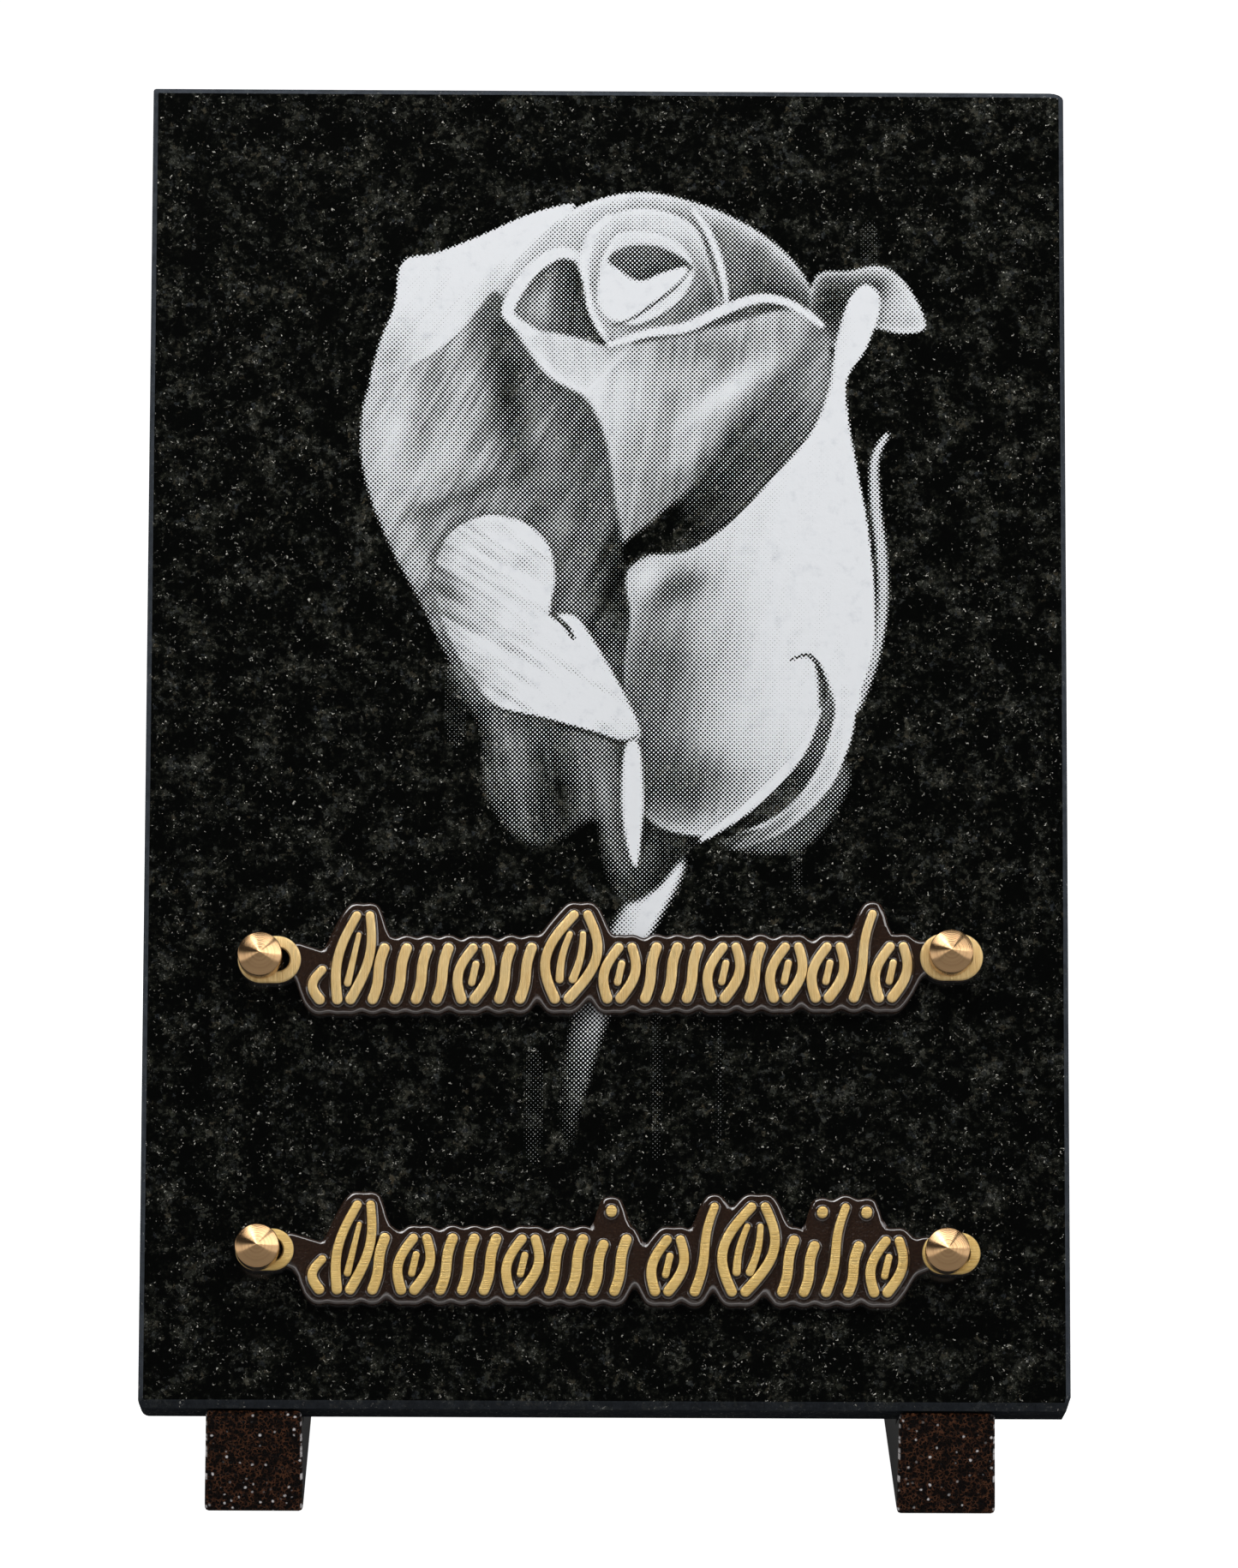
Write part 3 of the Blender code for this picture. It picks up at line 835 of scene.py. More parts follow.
def loft(name: str, rings: Sequence[np.ndarray]) -> bpy.types.Object:
    """A closed body through rings of points: a circle laid on the first ring, then extruded on to each next ring.

    Args:
        name: the piece's name.
        rings: rings of equally many points.

    Returns:
        The piece.
    """
    deselect()
    bpy.ops.mesh.primitive_circle_add(vertices=len(rings[0]), radius=0.01, fill_type="NGON")
    piece = bpy.context.object
    piece.name = name
    bpy.ops.object.mode_set(mode="EDIT")
    bpy.ops.mesh.select_all(action="SELECT")
    order = {tuple(vert.co): i for i, vert in enumerate(bmesh.from_edit_mesh(piece.data).verts)}
    for i, ring in enumerate(rings):
        if i:
            bpy.ops.mesh.extrude_region_move()
        mesh = bmesh.from_edit_mesh(piece.data)
        # An extruded point lies on the one that it came from until it is moved, which tells its place in the ring.
        top = sorted((vert for vert in mesh.verts if vert.select), key=lambda vert: order[tuple(vert.co)])
        for vert, point in zip(top, ring):
            vert.co = point
        order = {tuple(vert.co): k for k, vert in enumerate(top)}
        bmesh.update_edit_mesh(piece.data)
    bpy.ops.mesh.select_all(action="SELECT")
    bpy.ops.mesh.normals_make_consistent(inside=False)
    bpy.ops.object.mode_set(mode="OBJECT")
    return piece


def combine(piece: bpy.types.Object, other: bpy.types.Object, joining: Joining) -> None:
    """Join a piece with another, or cut it, by an exact Boolean.

    Args:
        piece: the piece that stays.
        other: the one that is used up.
        joining: what is done with it.
    """
    take(piece)
    modifier = piece.modifiers.new("combine", "BOOLEAN")
    modifier.operation = joining.value
    modifier.solver = "EXACT"
    modifier.object = other
    bpy.ops.object.modifier_apply(modifier=modifier.name)
    bpy.data.objects.remove(other)


def finish_piece(piece: bpy.types.Object, node: str, smooth_angle: float) -> None:
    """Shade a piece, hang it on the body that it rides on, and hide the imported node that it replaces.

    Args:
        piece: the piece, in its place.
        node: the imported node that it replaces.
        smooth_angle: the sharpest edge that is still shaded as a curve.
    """
    take(piece)
    bpy.ops.object.shade_smooth_by_angle(angle=smooth_angle)
    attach(piece, BODY)
    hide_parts(node)
    log.info("%s: %d faces", piece.name, len(piece.data.polygons))


def lattice_noise(x: np.ndarray, y: np.ndarray, seed: int) -> np.ndarray:
    """Smooth noise over a lattice one unit wide, which repeats after 64 units.

    Args:
        x: the places across.
        y: the places up.
        seed: picks the lattice's numbers.

    Returns:
        The noise, from -1 to 1.
    """
    table = np.random.default_rng(seed).uniform(-1, 1, (64, 64))
    i, j = np.floor(x).astype(int), np.floor(y).astype(int)
    u, v = x - i, y - j
    u, v = u * u * (3 - 2 * u), v * v * (3 - 2 * v)
    corner = [table[(i + a) % 64, (j + b) % 64] for a, b in ((0, 0), (1, 0), (0, 1), (1, 1))]
    return (corner[0] * (1 - u) + corner[1] * u) * (1 - v) + (corner[2] * (1 - u) + corner[3] * u) * v


def soft_step(low: float, high: float, value: np.ndarray) -> np.ndarray:
    """0 at and below low, 1 at and above high, with a soft step between them."""
    t = np.clip((value - low) / (high - low), 0, 1)
    return t * t * (3 - 2 * t)


@dataclass(frozen=True)
class Curve:
    """A smooth line through a few points, in millimetres on the slab's face."""

    points: tuple[Pair, ...]
    closed: bool = False
    steps: int = 6

    def line(self) -> np.ndarray:
        """Draw the curve.

        Returns:
            Points along it, as rows.
        """
        given = np.array(self.points, float)
        count = len(given)
        made = []
        for i in range(count if self.closed else count - 1):
            around = (i - 1, i, i + 1, i + 2)
            a, b, c, d = (given[k % count if self.closed else min(max(k, 0), count - 1)] for k in around)
            for t in np.arange(self.steps) / self.steps:
                bend = (2 * a - 5 * b + 4 * c - d) * t**2 + (3 * b - a - 3 * c + d) * t**3
                made.append(0.5 * (2 * b + (c - a) * t + bend))
        if not self.closed:
            made.append(given[-1])
        return np.array(made)

    def distance(self, places: np.ndarray) -> tuple[np.ndarray, np.ndarray]:
        """How far each place is from the curve, and at which share of the curve's length.

        Args:
            places: points as rows.

        Returns:
            The distances and the shares.
        """
        line = self.line()
        ends = np.roll(line, -1, axis=0) if self.closed else line[1:]
        starts = line if self.closed else line[:-1]
        best, share = np.full(len(places), np.inf), np.zeros(len(places))
        for i, (a, b) in enumerate(zip(starts, ends)):
            ab = b - a
            t = np.clip(((places - a) @ ab) / max(ab @ ab, 1e-9), 0, 1)
            gap = np.hypot(*(places - a - t[:, None] * ab).T)
            nearer = gap < best
            best[nearer], share[nearer] = gap[nearer], (i + t[nearer]) / len(starts)
        return best, share

    def holds(self, places: np.ndarray) -> np.ndarray:
        """Whether each place lies within the closed curve.

        Args:
            places: points as rows.

        Returns:
            One answer for each.
        """
        line = self.line()
        x, y = places.T
        odd = np.zeros(len(places), bool)
        for a, b in zip(line, np.roll(line, -1, axis=0)):
            if a[1] != b[1]:
                crosses = (a[1] > y) != (b[1] > y)
                odd ^= crosses & (x < (b[0] - a[0]) * (y - a[1]) / (b[1] - a[1]) + a[0])
        return odd


@dataclass(frozen=True)
class Shade:
    """A soft oval patch that lightens a petal, or darkens it where the amount is below 0."""

    x: float
    y: float
    half_length: float
    half_width: float
    turn: float
    amount: float

    def over(self, places: np.ndarray) -> np.ndarray:
        """What the patch adds.

        Args:
            places: points as rows.

        Returns:
            The added tone at each.
        """
        turn = math.radians(self.turn)
        dx, dy = places[:, 0] - self.x, places[:, 1] - self.y
        along = dx * math.cos(turn) + dy * math.sin(turn)
        across = dy * math.cos(turn) - dx * math.sin(turn)
        return self.amount * np.exp(-((along / self.half_length) ** 2) - (across / self.half_width) ** 2)


class Layer:
    """What petals and rims share: how one is laid over what is already there."""

    cast: float
    cast_width: float
    soft: float

    def _near(self, line: np.ndarray, places: np.ndarray, reach: float) -> np.ndarray:
        """Which places lie within reach of the box round a line."""
        return np.all((places > line.min(axis=0) - reach) & (places < line.max(axis=0) + reach), axis=1)

    def _lay(self, tone: np.ndarray, near: np.ndarray, depth: np.ndarray, own: Union[float, np.ndarray]) -> None:
        """Lay tones over what is already there, with the shadow that they cast on it.

        Args:
            tone: the tones so far, changed in place.
            near: which of them are changed.
            depth: how far within the layer's edge each of those is.
            own: the layer's own tones there.
        """
        under = tone[near] * (1 - self.cast * np.exp(np.minimum(depth, 0) / self.cast_width))
        cover = soft_step(-self.soft, self.soft, depth)
        tone[near] = under * (1 - cover) + own * cover


@dataclass(frozen=True)
class Petal(Layer):
    """A petal or leaf as one area of tone, from 0, bare stone, to 1, solid white."""

    outline: tuple[Pair, ...]
    tone: float
    slope: Pair = (0.0, 0.0)
    rim: float = 0.0
    rim_width: float = 1.2
    veins: float = 0.03
    vein_turn: float = 90.0
    cast: float = 0.0
    cast_width: float = 4.0
    soft: float = 0.5
    shades: tuple[Shade, ...] = ()
    limits: Range = (0.02, 1.05)

    def paint(self, tone: np.ndarray, places: np.ndarray, seed: int) -> None:
        """Lay the petal over what is already there.

        Args:
            tone: the tones so far, changed in place.
            places: where they are, as rows.
            seed: picks the veins.
        """
        curve = Curve(self.outline, closed=True)
        line = curve.line()
        reach = 3 * self.cast_width if self.cast else 2 * self.soft
        near = self._near(line, places, reach)
        here = places[near]
        depth, _ = curve.distance(here)
        depth = np.where(curve.holds(here), depth, -depth)
        turn = math.radians(self.vein_turn)
        along, across = here @ (math.cos(turn), math.sin(turn)), here @ (-math.sin(turn), math.cos(turn))
        own = self.tone + (here - line.mean(axis=0)) @ self.slope
        own += self.rim * np.exp(-np.maximum(depth, 0) / self.rim_width)
        own += sum(shade.over(here) for shade in self.shades)
        own += self.veins * lattice_noise(across * 0.9, along * 0.09, seed)
        own += self.veins * 0.6 * lattice_noise(across * 0.35, along * 0.05, seed + 1)
        own += self.veins * 0.6 * lattice_noise(here[:, 0] * 0.25, here[:, 1] * 0.25, seed + 2)
        self._lay(tone, near, depth, np.clip(own, *self.limits))


@dataclass(frozen=True)
class Rim(Layer):
    """A petal's turned edge: a band along a line, thinner towards its ends."""

    points: tuple[Pair, ...]
    width: float
    tone: float
    taper: float = 0.7
    cast: float = 0.0
    cast_width: float = 2.0
    soft: float = 0.5

    def paint(self, tone: np.ndarray, places: np.ndarray, seed: int) -> None:
        """Lay the band over what is already there.

        Args:
            tone: the tones so far, changed in place.
            places: where they are, as rows.
            seed: not needed, since a rim has no veins.
        """
        curve = Curve(self.points)
        line = curve.line()
        reach = self.width + 3 * self.cast_width
        near = self._near(line, places, reach)
        gap, share = curve.distance(places[near])
        depth = self.width / 2 * (1 - self.taper * (2 * share - 1) ** 2) - gap
        self._lay(tone, near, depth, self.tone)


@dataclass(frozen=True)
class Rose:
    """A plain long-stemmed rose, painted petal by petal from the back to the front."""

    attribute = "tone"
    left: float = -0.062
    right: float = 0.079
    bottom: float = 0.056
    top: float = 0.298
    first_seed: int = 11
    seeds_each: int = 3
    layers: tuple[Layer, ...] = (
        # Stray dots beside the stem, where the printing ran faint
        Rim(((-17, 60), (-17, 84)), 5.0, 0.095, taper=0.2), Rim(((12, 60), (12, 94)), 3.0, 0.085, taper=0.2),
        Rim(((27, 63), (27, 93)), 2.0, 0.080, taper=0.2), Rim(((63, 276), (63, 286)), 5.0, 0.085, taper=0.2),
        Rim(((-36, 160), (-36, 180)), 6.0, 0.095, taper=0.3), Rim(((45.5, 124), (45.5, 138)), 3.0, 0.085, taper=0.2),
        # The stem, and the dark cup above it
        Petal(((-15, 60), (-9.5, 61), (-5, 75), (-2, 86), (2, 97), (9, 111), (18, 128), (16.5, 133), (12, 131),
               (3, 118), (-6, 100), (-10, 85), (-14, 68)), 0.52, (0.035, 0.001), veins=0.04, vein_turn=68, soft=1.6,
              shades=(Shade(13, 122, 12, 2.2, 62, 0.5), Shade(-12, 66, 8, 4, 70, -0.12))),
        Petal(((0, 127), (-1, 139), (8, 150), (24, 152), (30, 141), (21, 134), (17, 130), (12, 124), (5, 121)),
              0.14, soft=1.2, shades=(Shade(9, 131, 8, 3, 60, 0.12),)),
        # Sepals that hang behind the bloom
        Petal(((-37, 178), (-30, 163), (-29, 148), (-22, 137), (-13, 135), (-3, 141), (0, 132), (6, 128), (8, 150),
               (4, 166), (-14, 172)), 0.30, (0.002, 0.004), veins=0.07, vein_turn=100, soft=1.8,
              shades=(Shade(-12, 150, 12, 4, 95, -0.16), Shade(-22, 158, 14, 3, 110, 0.08),
                      Shade(0, 146, 16, 3, 95, 0.12))),
        Petal(((26, 137), (34, 133), (46, 134), (54, 142), (58, 153), (50, 160), (36, 150)), 0.30, (0.004, 0.0),
              veins=0.05, vein_turn=40, soft=1.6),
        Rim(((67.0, 235), (64.2, 229), (64.3, 218), (65.8, 205), (65.9, 192), (64.0, 180), (60.0, 168)), 2.7, 0.80,
            taper=0.55, soft=0.7),
        # The dome of back petals, the right petal's turned tip and the outermost left petal
        Petal(((-30, 262), (-25, 276), (-17, 285), (-6, 291.5), (6, 294.5), (18, 293), (31, 288), (42, 280.5),
               (49, 271), (51, 261), (30, 254), (0, 252)), 0.62, (-0.004, 0.004), rim=0.42, rim_width=1.3, veins=0.05,
              vein_turn=70, shades=(Shade(38, 272, 14, 6, -50, -0.22), Shade(8, 290, 16, 3, 0, 0.06),
                                    Shade(-12, 287, 8, 3, 35, -0.14))),
        Petal(((49, 262), (50, 274), (58, 275.5), (66, 276.5), (72, 272), (76.5, 262), (71, 260), (63, 261),
               (56, 256)), 0.52, rim=0.42, rim_width=1.3, veins=0.04, vein_turn=20,
              shades=(Shade(54, 268, 7, 6, 80, -0.34), Shade(70, 267, 6, 5, -40, 0.22),
                      Shade(65, 271, 3, 2.2, 0, -0.2))),
        Petal(((-49.5, 277), (-41, 279.5), (-30, 284), (-19, 289), (-8, 291.5), (-18, 283), (-25, 274), (-30, 266),
               (-38, 257.5), (-49, 249.5), (-57, 246), (-55, 257), (-51.5, 266)), 0.97, (0.004, 0.004), veins=0.05,
              vein_turn=55, shades=(Shade(-52, 254, 7, 5, 60, -0.30), Shade(-28, 272, 7, 2, 60, -0.16))),
        # The left petal's body
        Petal(((-38, 257.5), (-48.5, 251), (-57, 247), (-59.5, 234), (-57.5, 221), (-52, 207), (-45, 194),
               (-38, 180), (-30, 169), (-18, 165), (4, 166), (10, 190), (6, 215), (0, 240), (-12, 254), (-22, 264),
               (-27, 270), (-31, 266)), 0.47, (-0.0022, 0.0008), veins=0.07, vein_turn=62,
              shades=(Shade(-24, 246, 22, 4.5, 100, -0.30), Shade(-52, 236, 14, 5, 85, 0.20),
                      Shade(-40, 228, 10, 4, 40, 0.12), Shade(-36, 219, 16, 2.2, 22, -0.16),
                      Shade(-8, 232, 20, 4, 95, -0.12), Shade(-45, 203, 14, 3, 120, 0.12),
                      Shade(2, 200, 16, 5, 80, -0.24), Shade(-6, 222, 10, 7, 90, 0.04))),
        # The big right petal, bright over its shoulder, and the one that wraps round under it
        Petal(((58, 268), (62, 272), (65.5, 268), (62.5, 257), (57.5, 248.5), (58, 238), (60, 226), (62.5, 212),
               (64, 196), (63.5, 182), (60, 170), (57.5, 158), (50, 147), (39, 140), (24, 137), (10, 141), (5, 156),
               (4, 176), (5.5, 190), (4.5, 200), (9, 205.5), (20, 207), (30, 214), (40, 225), (49, 236), (53, 247),
               (55, 258)), 0.93, (0.003, 0.001), rim=0.10, rim_width=1.4, veins=0.035, vein_turn=75, cast=0.30,
              cast_width=4.5, shades=(Shade(12, 174, 30, 16, 84, -0.46), Shade(20, 148, 20, 10, 8, -0.36),
                                      Shade(17, 198, 10, 4.5, 10, -0.30), Shade(33, 166, 26, 8, 70, 0.02),
                                      Shade(10, 200, 5, 3.5, 60, 0.45), Shade(30, 184, 12, 5, 80, -0.08))),
        Petal(((50, 180), (53.5, 173), (55.5, 163), (52, 152), (44, 144), (31, 137.5), (23, 135.5), (30, 141),
               (40, 150), (47, 159), (50.5, 168)), 0.20, (0.010, 0.0), veins=0.05, vein_turn=50, soft=0.6),
        Rim(((44, 180), (48.5, 181), (51.5, 176), (52.3, 170)), 0.9, 0.12, soft=0.4),
        Rim(((51, 168), (47, 158.5), (41, 151), (33, 143.5), (26, 138.5), (22.5, 136)), 2.3, 0.97, taper=0.75),
        Petal(((60.5, 172), (58, 164), (55, 152), (48, 143), (40, 137), (30, 134), (38, 140), (46, 147),
               (51.5, 156), (54.5, 166), (55.5, 175)), 0.62, (0.02, 0.004), rim=0.25, rim_width=1.0, veins=0.04,
              vein_turn=60),
        # The bud's front petal, and the deep shade under its right side
        Petal(((-24.5, 266), (-20, 257), (-14, 249), (-5, 243.5), (0, 232), (2, 218), (5, 206), (12, 211),
               (24, 222), (36, 235), (46, 247), (51.5, 262), (44, 266), (28, 262), (10, 258), (-8, 256)), 0.58,
              (-0.004, 0.004), rim=0.10, rim_width=2.0, veins=0.06, vein_turn=82, cast=0.35, cast_width=6.0, soft=0.9,
              shades=(Shade(38, 238, 24, 5.5, 46, -0.36), Shade(28, 245, 12, 2.6, 38, 0.40),
                      Shade(-9, 250, 10, 4, -38, 0.26), Shade(22, 256, 14, 4, 6, -0.12), Shade(2, 243, 8, 8, 0, 0.10),
                      Shade(20, 232, 10, 3, 42, 0.12))),
        Petal(((52, 262), (54, 250), (49, 236), (39, 224), (29, 213.5), (19, 206.5), (10, 205.5), (5, 203), (4, 208),
               (10, 213), (22, 224), (34, 237), (43, 249), (48, 259)), 0.24, (0.004, 0.004), veins=0.05,
              vein_turn=48, soft=1.0, shades=(Shade(12, 211, 10, 4, 35, -0.12), Shade(50, 248, 8, 3, 80, 0.10))),
        # The left pocket, its turned rim and the pale petal below it
        Petal(((-23, 265), (-19, 274), (-12, 279), (-6, 277), (-3.5, 268), (0.5, 257.5), (-8, 258.5), (-15, 259)),
              0.30, (-0.010, -0.004), veins=0.05, vein_turn=80, shades=(Shade(-16, 268, 7, 3, 70, 0.18),)),
        Rim(((-17, 259), (-23, 263), (-23.8, 266.5), (-19, 274.5), (-12.5, 279.3), (-7.5, 278.6), (-6, 275.5)), 3.0,
            0.98, taper=0.35, cast=0.12),
        Petal(((-17.5, 259.8), (-10, 259), (0, 256.5), (6, 258), (0, 250), (-6, 245.5), (-13, 250), (-18, 256)),
              0.74, (0.002, -0.006), rim=0.2, rim_width=0.9, veins=0.05, vein_turn=100, soft=0.9),
        # The rolled middle, its mouth and the torn edge across it
        Petal(((-6, 273), (-4, 283), (0, 288.5), (9, 290.5), (18, 288), (22.5, 283), (26.5, 270), (27.5, 266),
               (16, 261), (2, 258), (-2.5, 263)), 0.66, (0.0, 0.006), rim=0.30, cast=0.35, cast_width=2.5,
              veins=0.04, shades=(Shade(12, 285, 9, 2.5, 0, 0.12), Shade(24, 272, 8, 3, 100, -0.26),
                                  Shade(19, 265, 8, 2.6, 40, -0.26))),
        Petal(((-2, 275), (0, 281), (3, 284.5), (11, 284.5), (18, 281), (20.5, 274), (15, 266), (6, 262),
               (0, 265.5)), 0.80, rim=0.18, rim_width=1.0, veins=0.04, vein_turn=10, cast=0.25, cast_width=1.5),
        Petal(((0, 277.5), (3.5, 281), (11, 281.5), (18, 278.5), (20, 275.5), (14, 274.5), (7, 272.8)), 0.28,
              (-0.006, 0.012), veins=0.04, vein_turn=0, soft=0.6),
        Petal(((-0.5, 276.5), (7, 272.4), (13, 274.6), (19, 276), (15, 270), (8, 264), (1, 263), (-2.5, 268)), 0.97,
              vein_turn=30),
        Rim(((20.5, 276), (16, 271), (11, 267), (6, 263.5), (1, 261.5)), 0.9, 0.30, taper=0.8, soft=0.4),
        Rim(((22, 273), (18, 268), (12, 263.5), (5, 260.5)), 0.9, 0.42, taper=0.8, soft=0.4),
        Rim(((-5.5, 275), (-4.5, 267), (-2, 261), (0.6, 256.8)), 1.5, 0.98, taper=0.5, cast=0.25, cast_width=1.2),
        Rim(((0, 288.8), (-4, 284), (-5.8, 277), (-5.5, 272)), 2.2, 0.95, taper=0.6),
        # The thin bright rims over the bud
        Rim(((20.5, 290.5), (24.5, 284), (27.5, 275), (28.7, 266.5)), 1.5, 0.97, taper=0.4, cast=0.22,
            cast_width=2.2),
        Rim(((0.5, 257), (10, 259.8), (19, 261.3), (27, 265.2), (36, 268.4), (44, 267.2), (51.5, 262)), 2.3, 0.99,
            taper=0.5, cast=0.20),
        # The left petal's folded lobe, and the white sepal that drops from under it
        Petal(((-38, 210), (-30, 214.5), (-21, 213.5), (-14.5, 208), (-12.5, 200), (-13.5, 191.5), (-7.5, 190),
               (-1.5, 181.5), (4, 171.5), (8, 162), (4.5, 160), (-4, 162.5), (-15, 165.5), (-26, 168.5), (-33, 176),
               (-39, 188), (-41.5, 200)), 0.93, (0.004, -0.001), veins=0.17, vein_turn=-32, cast=0.30,
              cast_width=3.5, shades=(Shade(-39, 196, 14, 5, 105, -0.34), Shade(-30, 174, 12, 3.5, 140, -0.24),
                                      Shade(-26, 192, 10, 3, 50, -0.06))),
        Rim(((-13.5, 191), (-10, 188), (-8, 185)), 1.2, 0.1, taper=0.3, soft=0.4),
        Rim(((-28, 168.2), (-14, 165), (-3, 161.9), (4, 159.6), (7.5, 161.8)), 0.9, 0.12, taper=0.8, soft=0.4),
        Petal(((4.5, 158.5), (7.6, 159), (8.6, 148), (8.3, 138), (7, 129.5), (4.6, 137), (3.7, 147)), 0.97,
              (0.02, 0.0), veins=0.02, cast=0.2, cast_width=1.5),
    )

    def tones(self, places: np.ndarray) -> np.ndarray:
        """The rose's tone.

        Args:
            places: points as rows, in millimetres of the slab's face.

        Returns:
            The tone at each.
        """
        tone = np.zeros(len(places))
        for i, layer in enumerate(self.layers):
            layer.paint(tone, places, self.first_seed + self.seeds_each * i)
        return tone


class SlabSide(Enum):
    """The slab's kinds of surface: the place of each one's finish among its materials."""

    FACE = 0
    EDGE = 1
    BACK = 2


@dataclass(frozen=True)
class Slab:
    """The slab: its packed form, with a fine grid of points under the rose."""

    axes: SlabAxes
    rose: Rose = Rose()
    grid_across: int = 210
    grid_up: int = 400
    flat: float = 0.00002
    back_facing: float = -0.99
    smooth_angle: float = math.radians(12)

    def build(self) -> bpy.types.Object:
        """Model the slab, print the rose's tones on it and dress it.

        Returns:
            The slab.
        """
        matrix = self.axes.matrix()
        piece = copy_of_node("granite_slab", "dressed_slab")
        settle(piece, matrix.inverted())
        self._open_face(piece)
        self._lay_grid(piece)
        self._print_rose(piece)
        self._dress(piece)
        settle(piece, matrix)
        finish_piece(piece, "granite_slab", self.smooth_angle)
        # The long thin triangles between the screw holes would take on the holes' shading.
        for face in piece.data.polygons:
            face.use_smooth = face.material_index != SlabSide.FACE.value
        return piece

    def _on_face(self, part: object) -> bool:
        """Whether all of an edge or face lies in the plane of the polished face."""
        return all(abs(vert.co.z) < self.flat for vert in part.verts)

    def _open_face(self, piece: bpy.types.Object) -> None:
        """Take the polished face out, down to its outline and the rims of the screw holes.

        Args:
            piece: the slab.
        """
        bpy.ops.object.mode_set(mode="EDIT")
        select_where(piece, Part.FACE, self._on_face)
        bpy.ops.mesh.delete(type="FACE")
        bpy.ops.object.mode_set(mode="OBJECT")

    def _lay_grid(self, piece: bpy.types.Object) -> None:
        """Lay a fine grid under the rose and fill the rest of the face round it.

        Args:
            piece: the slab.
        """
        rose = self.rose
        deselect()
        middle = ((rose.left + rose.right) / 2, (rose.bottom + rose.top) / 2, 0)
        bpy.ops.mesh.primitive_grid_add(
            x_subdivisions=self.grid_across, y_subdivisions=self.grid_up, size=1, location=middle
        )
        grid = bpy.context.object
        grid.scale = (rose.right - rose.left, rose.top - rose.bottom, 1)
        bpy.ops.object.transform_apply(location=True, rotation=False, scale=True)
        take(piece, grid)
        bpy.ops.object.join()
        bpy.ops.object.mode_set(mode="EDIT")
        select_where(piece, Part.EDGE, lambda edge: edge.is_boundary)
        bpy.ops.mesh.fill(use_beauty=True)
        bpy.ops.mesh.select_all(action="SELECT")
        bpy.ops.mesh.normals_make_consistent(inside=False)
        bpy.ops.object.mode_set(mode="OBJECT")

    def _print_rose(self, piece: bpy.types.Object) -> None:
        """Give each point of the grid the rose's tone.

        Args:
            piece: the slab.
        """
        mesh = piece.data
        places = np.empty(len(mesh.vertices) * 3)
        mesh.vertices.foreach_get("co", places)
        places = places.reshape(-1, 3)
        low, high = (self.rose.left, self.rose.bottom), (self.rose.right, self.rose.top)
        printed = (abs(places[:, 2]) < self.flat) & np.all((places[:, :2] > low) & (places[:, :2] < high), axis=1)
        tone = np.zeros(len(places))
        tone[printed] = self.rose.tones(places[printed][:, :2] / MM)
        mesh.attributes.new(Rose.attribute, "FLOAT", "POINT").data.foreach_set("value", tone)

    def _dress(self, piece: bpy.types.Object) -> None:
        """Polish the face, hone the chamfers and narrow sides, and leave the back sawn.

        Args:
            piece: the slab.
        """
        for finish in (PolishedGranite, HonedGranite, SawnGranite):
            piece.data.materials.append(finish(self.axes).make())
        back_level = self.axes.back_arris - self.axes.thickness
        for face in piece.data.polygons:
            on_back = face.normal.z < self.back_facing and face.center.z < back_level
            side = SlabSide.FACE if abs(face.center.z) < self.flat else SlabSide.BACK if on_back else SlabSide.EDGE
            face.material_index = side.value


@dataclass(frozen=True)
class Stroke:
    """A raised mark's middle line from its foot to its head, with its half width at both ends."""

    points: np.ndarray
    foot_half: float
    head_half: float

    def half_at(self, share: float) -> float:
        """The half width at a share of the stroke's length."""
        return self.foot_half + (self.head_half - self.foot_half) * share

    def outline(self, wider: float, round_steps: int = 8) -> np.ndarray:
        """The stroke's outline with round ends, anticlockwise.

        Args:
            wider: how far out the outline is moved.
            round_steps: straight pieces of each round end.

        Returns:
            The outline's points.
        """
        along = np.gradient(self.points, axis=0)
        along /= np.linalg.norm(along, axis=1)[:, None]
        side = np.column_stack((along[:, 1], -along[:, 0]))
        half = np.linspace(self.foot_half, self.head_half, len(self.points))[:, None] + wider
        right, left = self.points + side * half, self.points - side * half
        turns = np.pi * np.arange(1, round_steps) / round_steps

        def cap(middle: np.ndarray, start: np.ndarray) -> np.ndarray:
            """The half round that starts at one side of an end."""
            arm = start - middle
            return np.column_stack((
                middle[0] + arm[0] * np.cos(turns) - arm[1] * np.sin(turns),
                middle[1] + arm[0] * np.sin(turns) + arm[1] * np.cos(turns),
            ))

        return np.vstack((right, cap(self.points[-1], right[-1]), left[::-1], cap(self.points[0], left[0])))


@dataclass(frozen=True)
class Pen:
    """What every raised stroke shares."""

    width: float = 0.0025
    height: float = 0.0147
    tall: float = 0.0226
    leaflet: float = 0.0096
    dot_radius: float = 0.0013
    slant: float = math.radians(13)
    steps: int = 14


PEN = Pen()


@dataclass(frozen=True)
class Line:
    """A stroke as its mark draws it, in half widths of a stroke. Only its two levels are in metres."""

    foot: float = 0.0
    head: float = 0.0
    base: float = 0.0
    top: float = PEN.height
    lift: float = 0.0
    drop: float = 0.0
    bow: float = 0.0
    sway: float = 0.0
    foot_wide: float = 1.0
    head_wide: float = 1.0

    def stroke(self, x: float, base_line: float) -> Stroke:
        """The line as a slanted stroke.

        Args:
            x: the mark's middle along its strip.
            base_line: the level that its foot is measured from.

        Returns:
            The stroke.
        """
        half = PEN.width / 2
        low = self.base + half * (1 + self.lift)
        high = self.top - half * (1 + self.drop)
        t = np.linspace(0, 1, PEN.steps + 1)
        bend = self.bow * np.sin(np.pi * t) + self.sway * np.sin(2 * np.pi * t)
        across = half * (self.foot + (self.head - self.foot) * t + bend)
        y = low + (high - low) * t
        points = np.column_stack((x + across + y * math.tan(PEN.slant), base_line + y))
        return Stroke(points, half * self.foot_wide, half * self.head_wide)


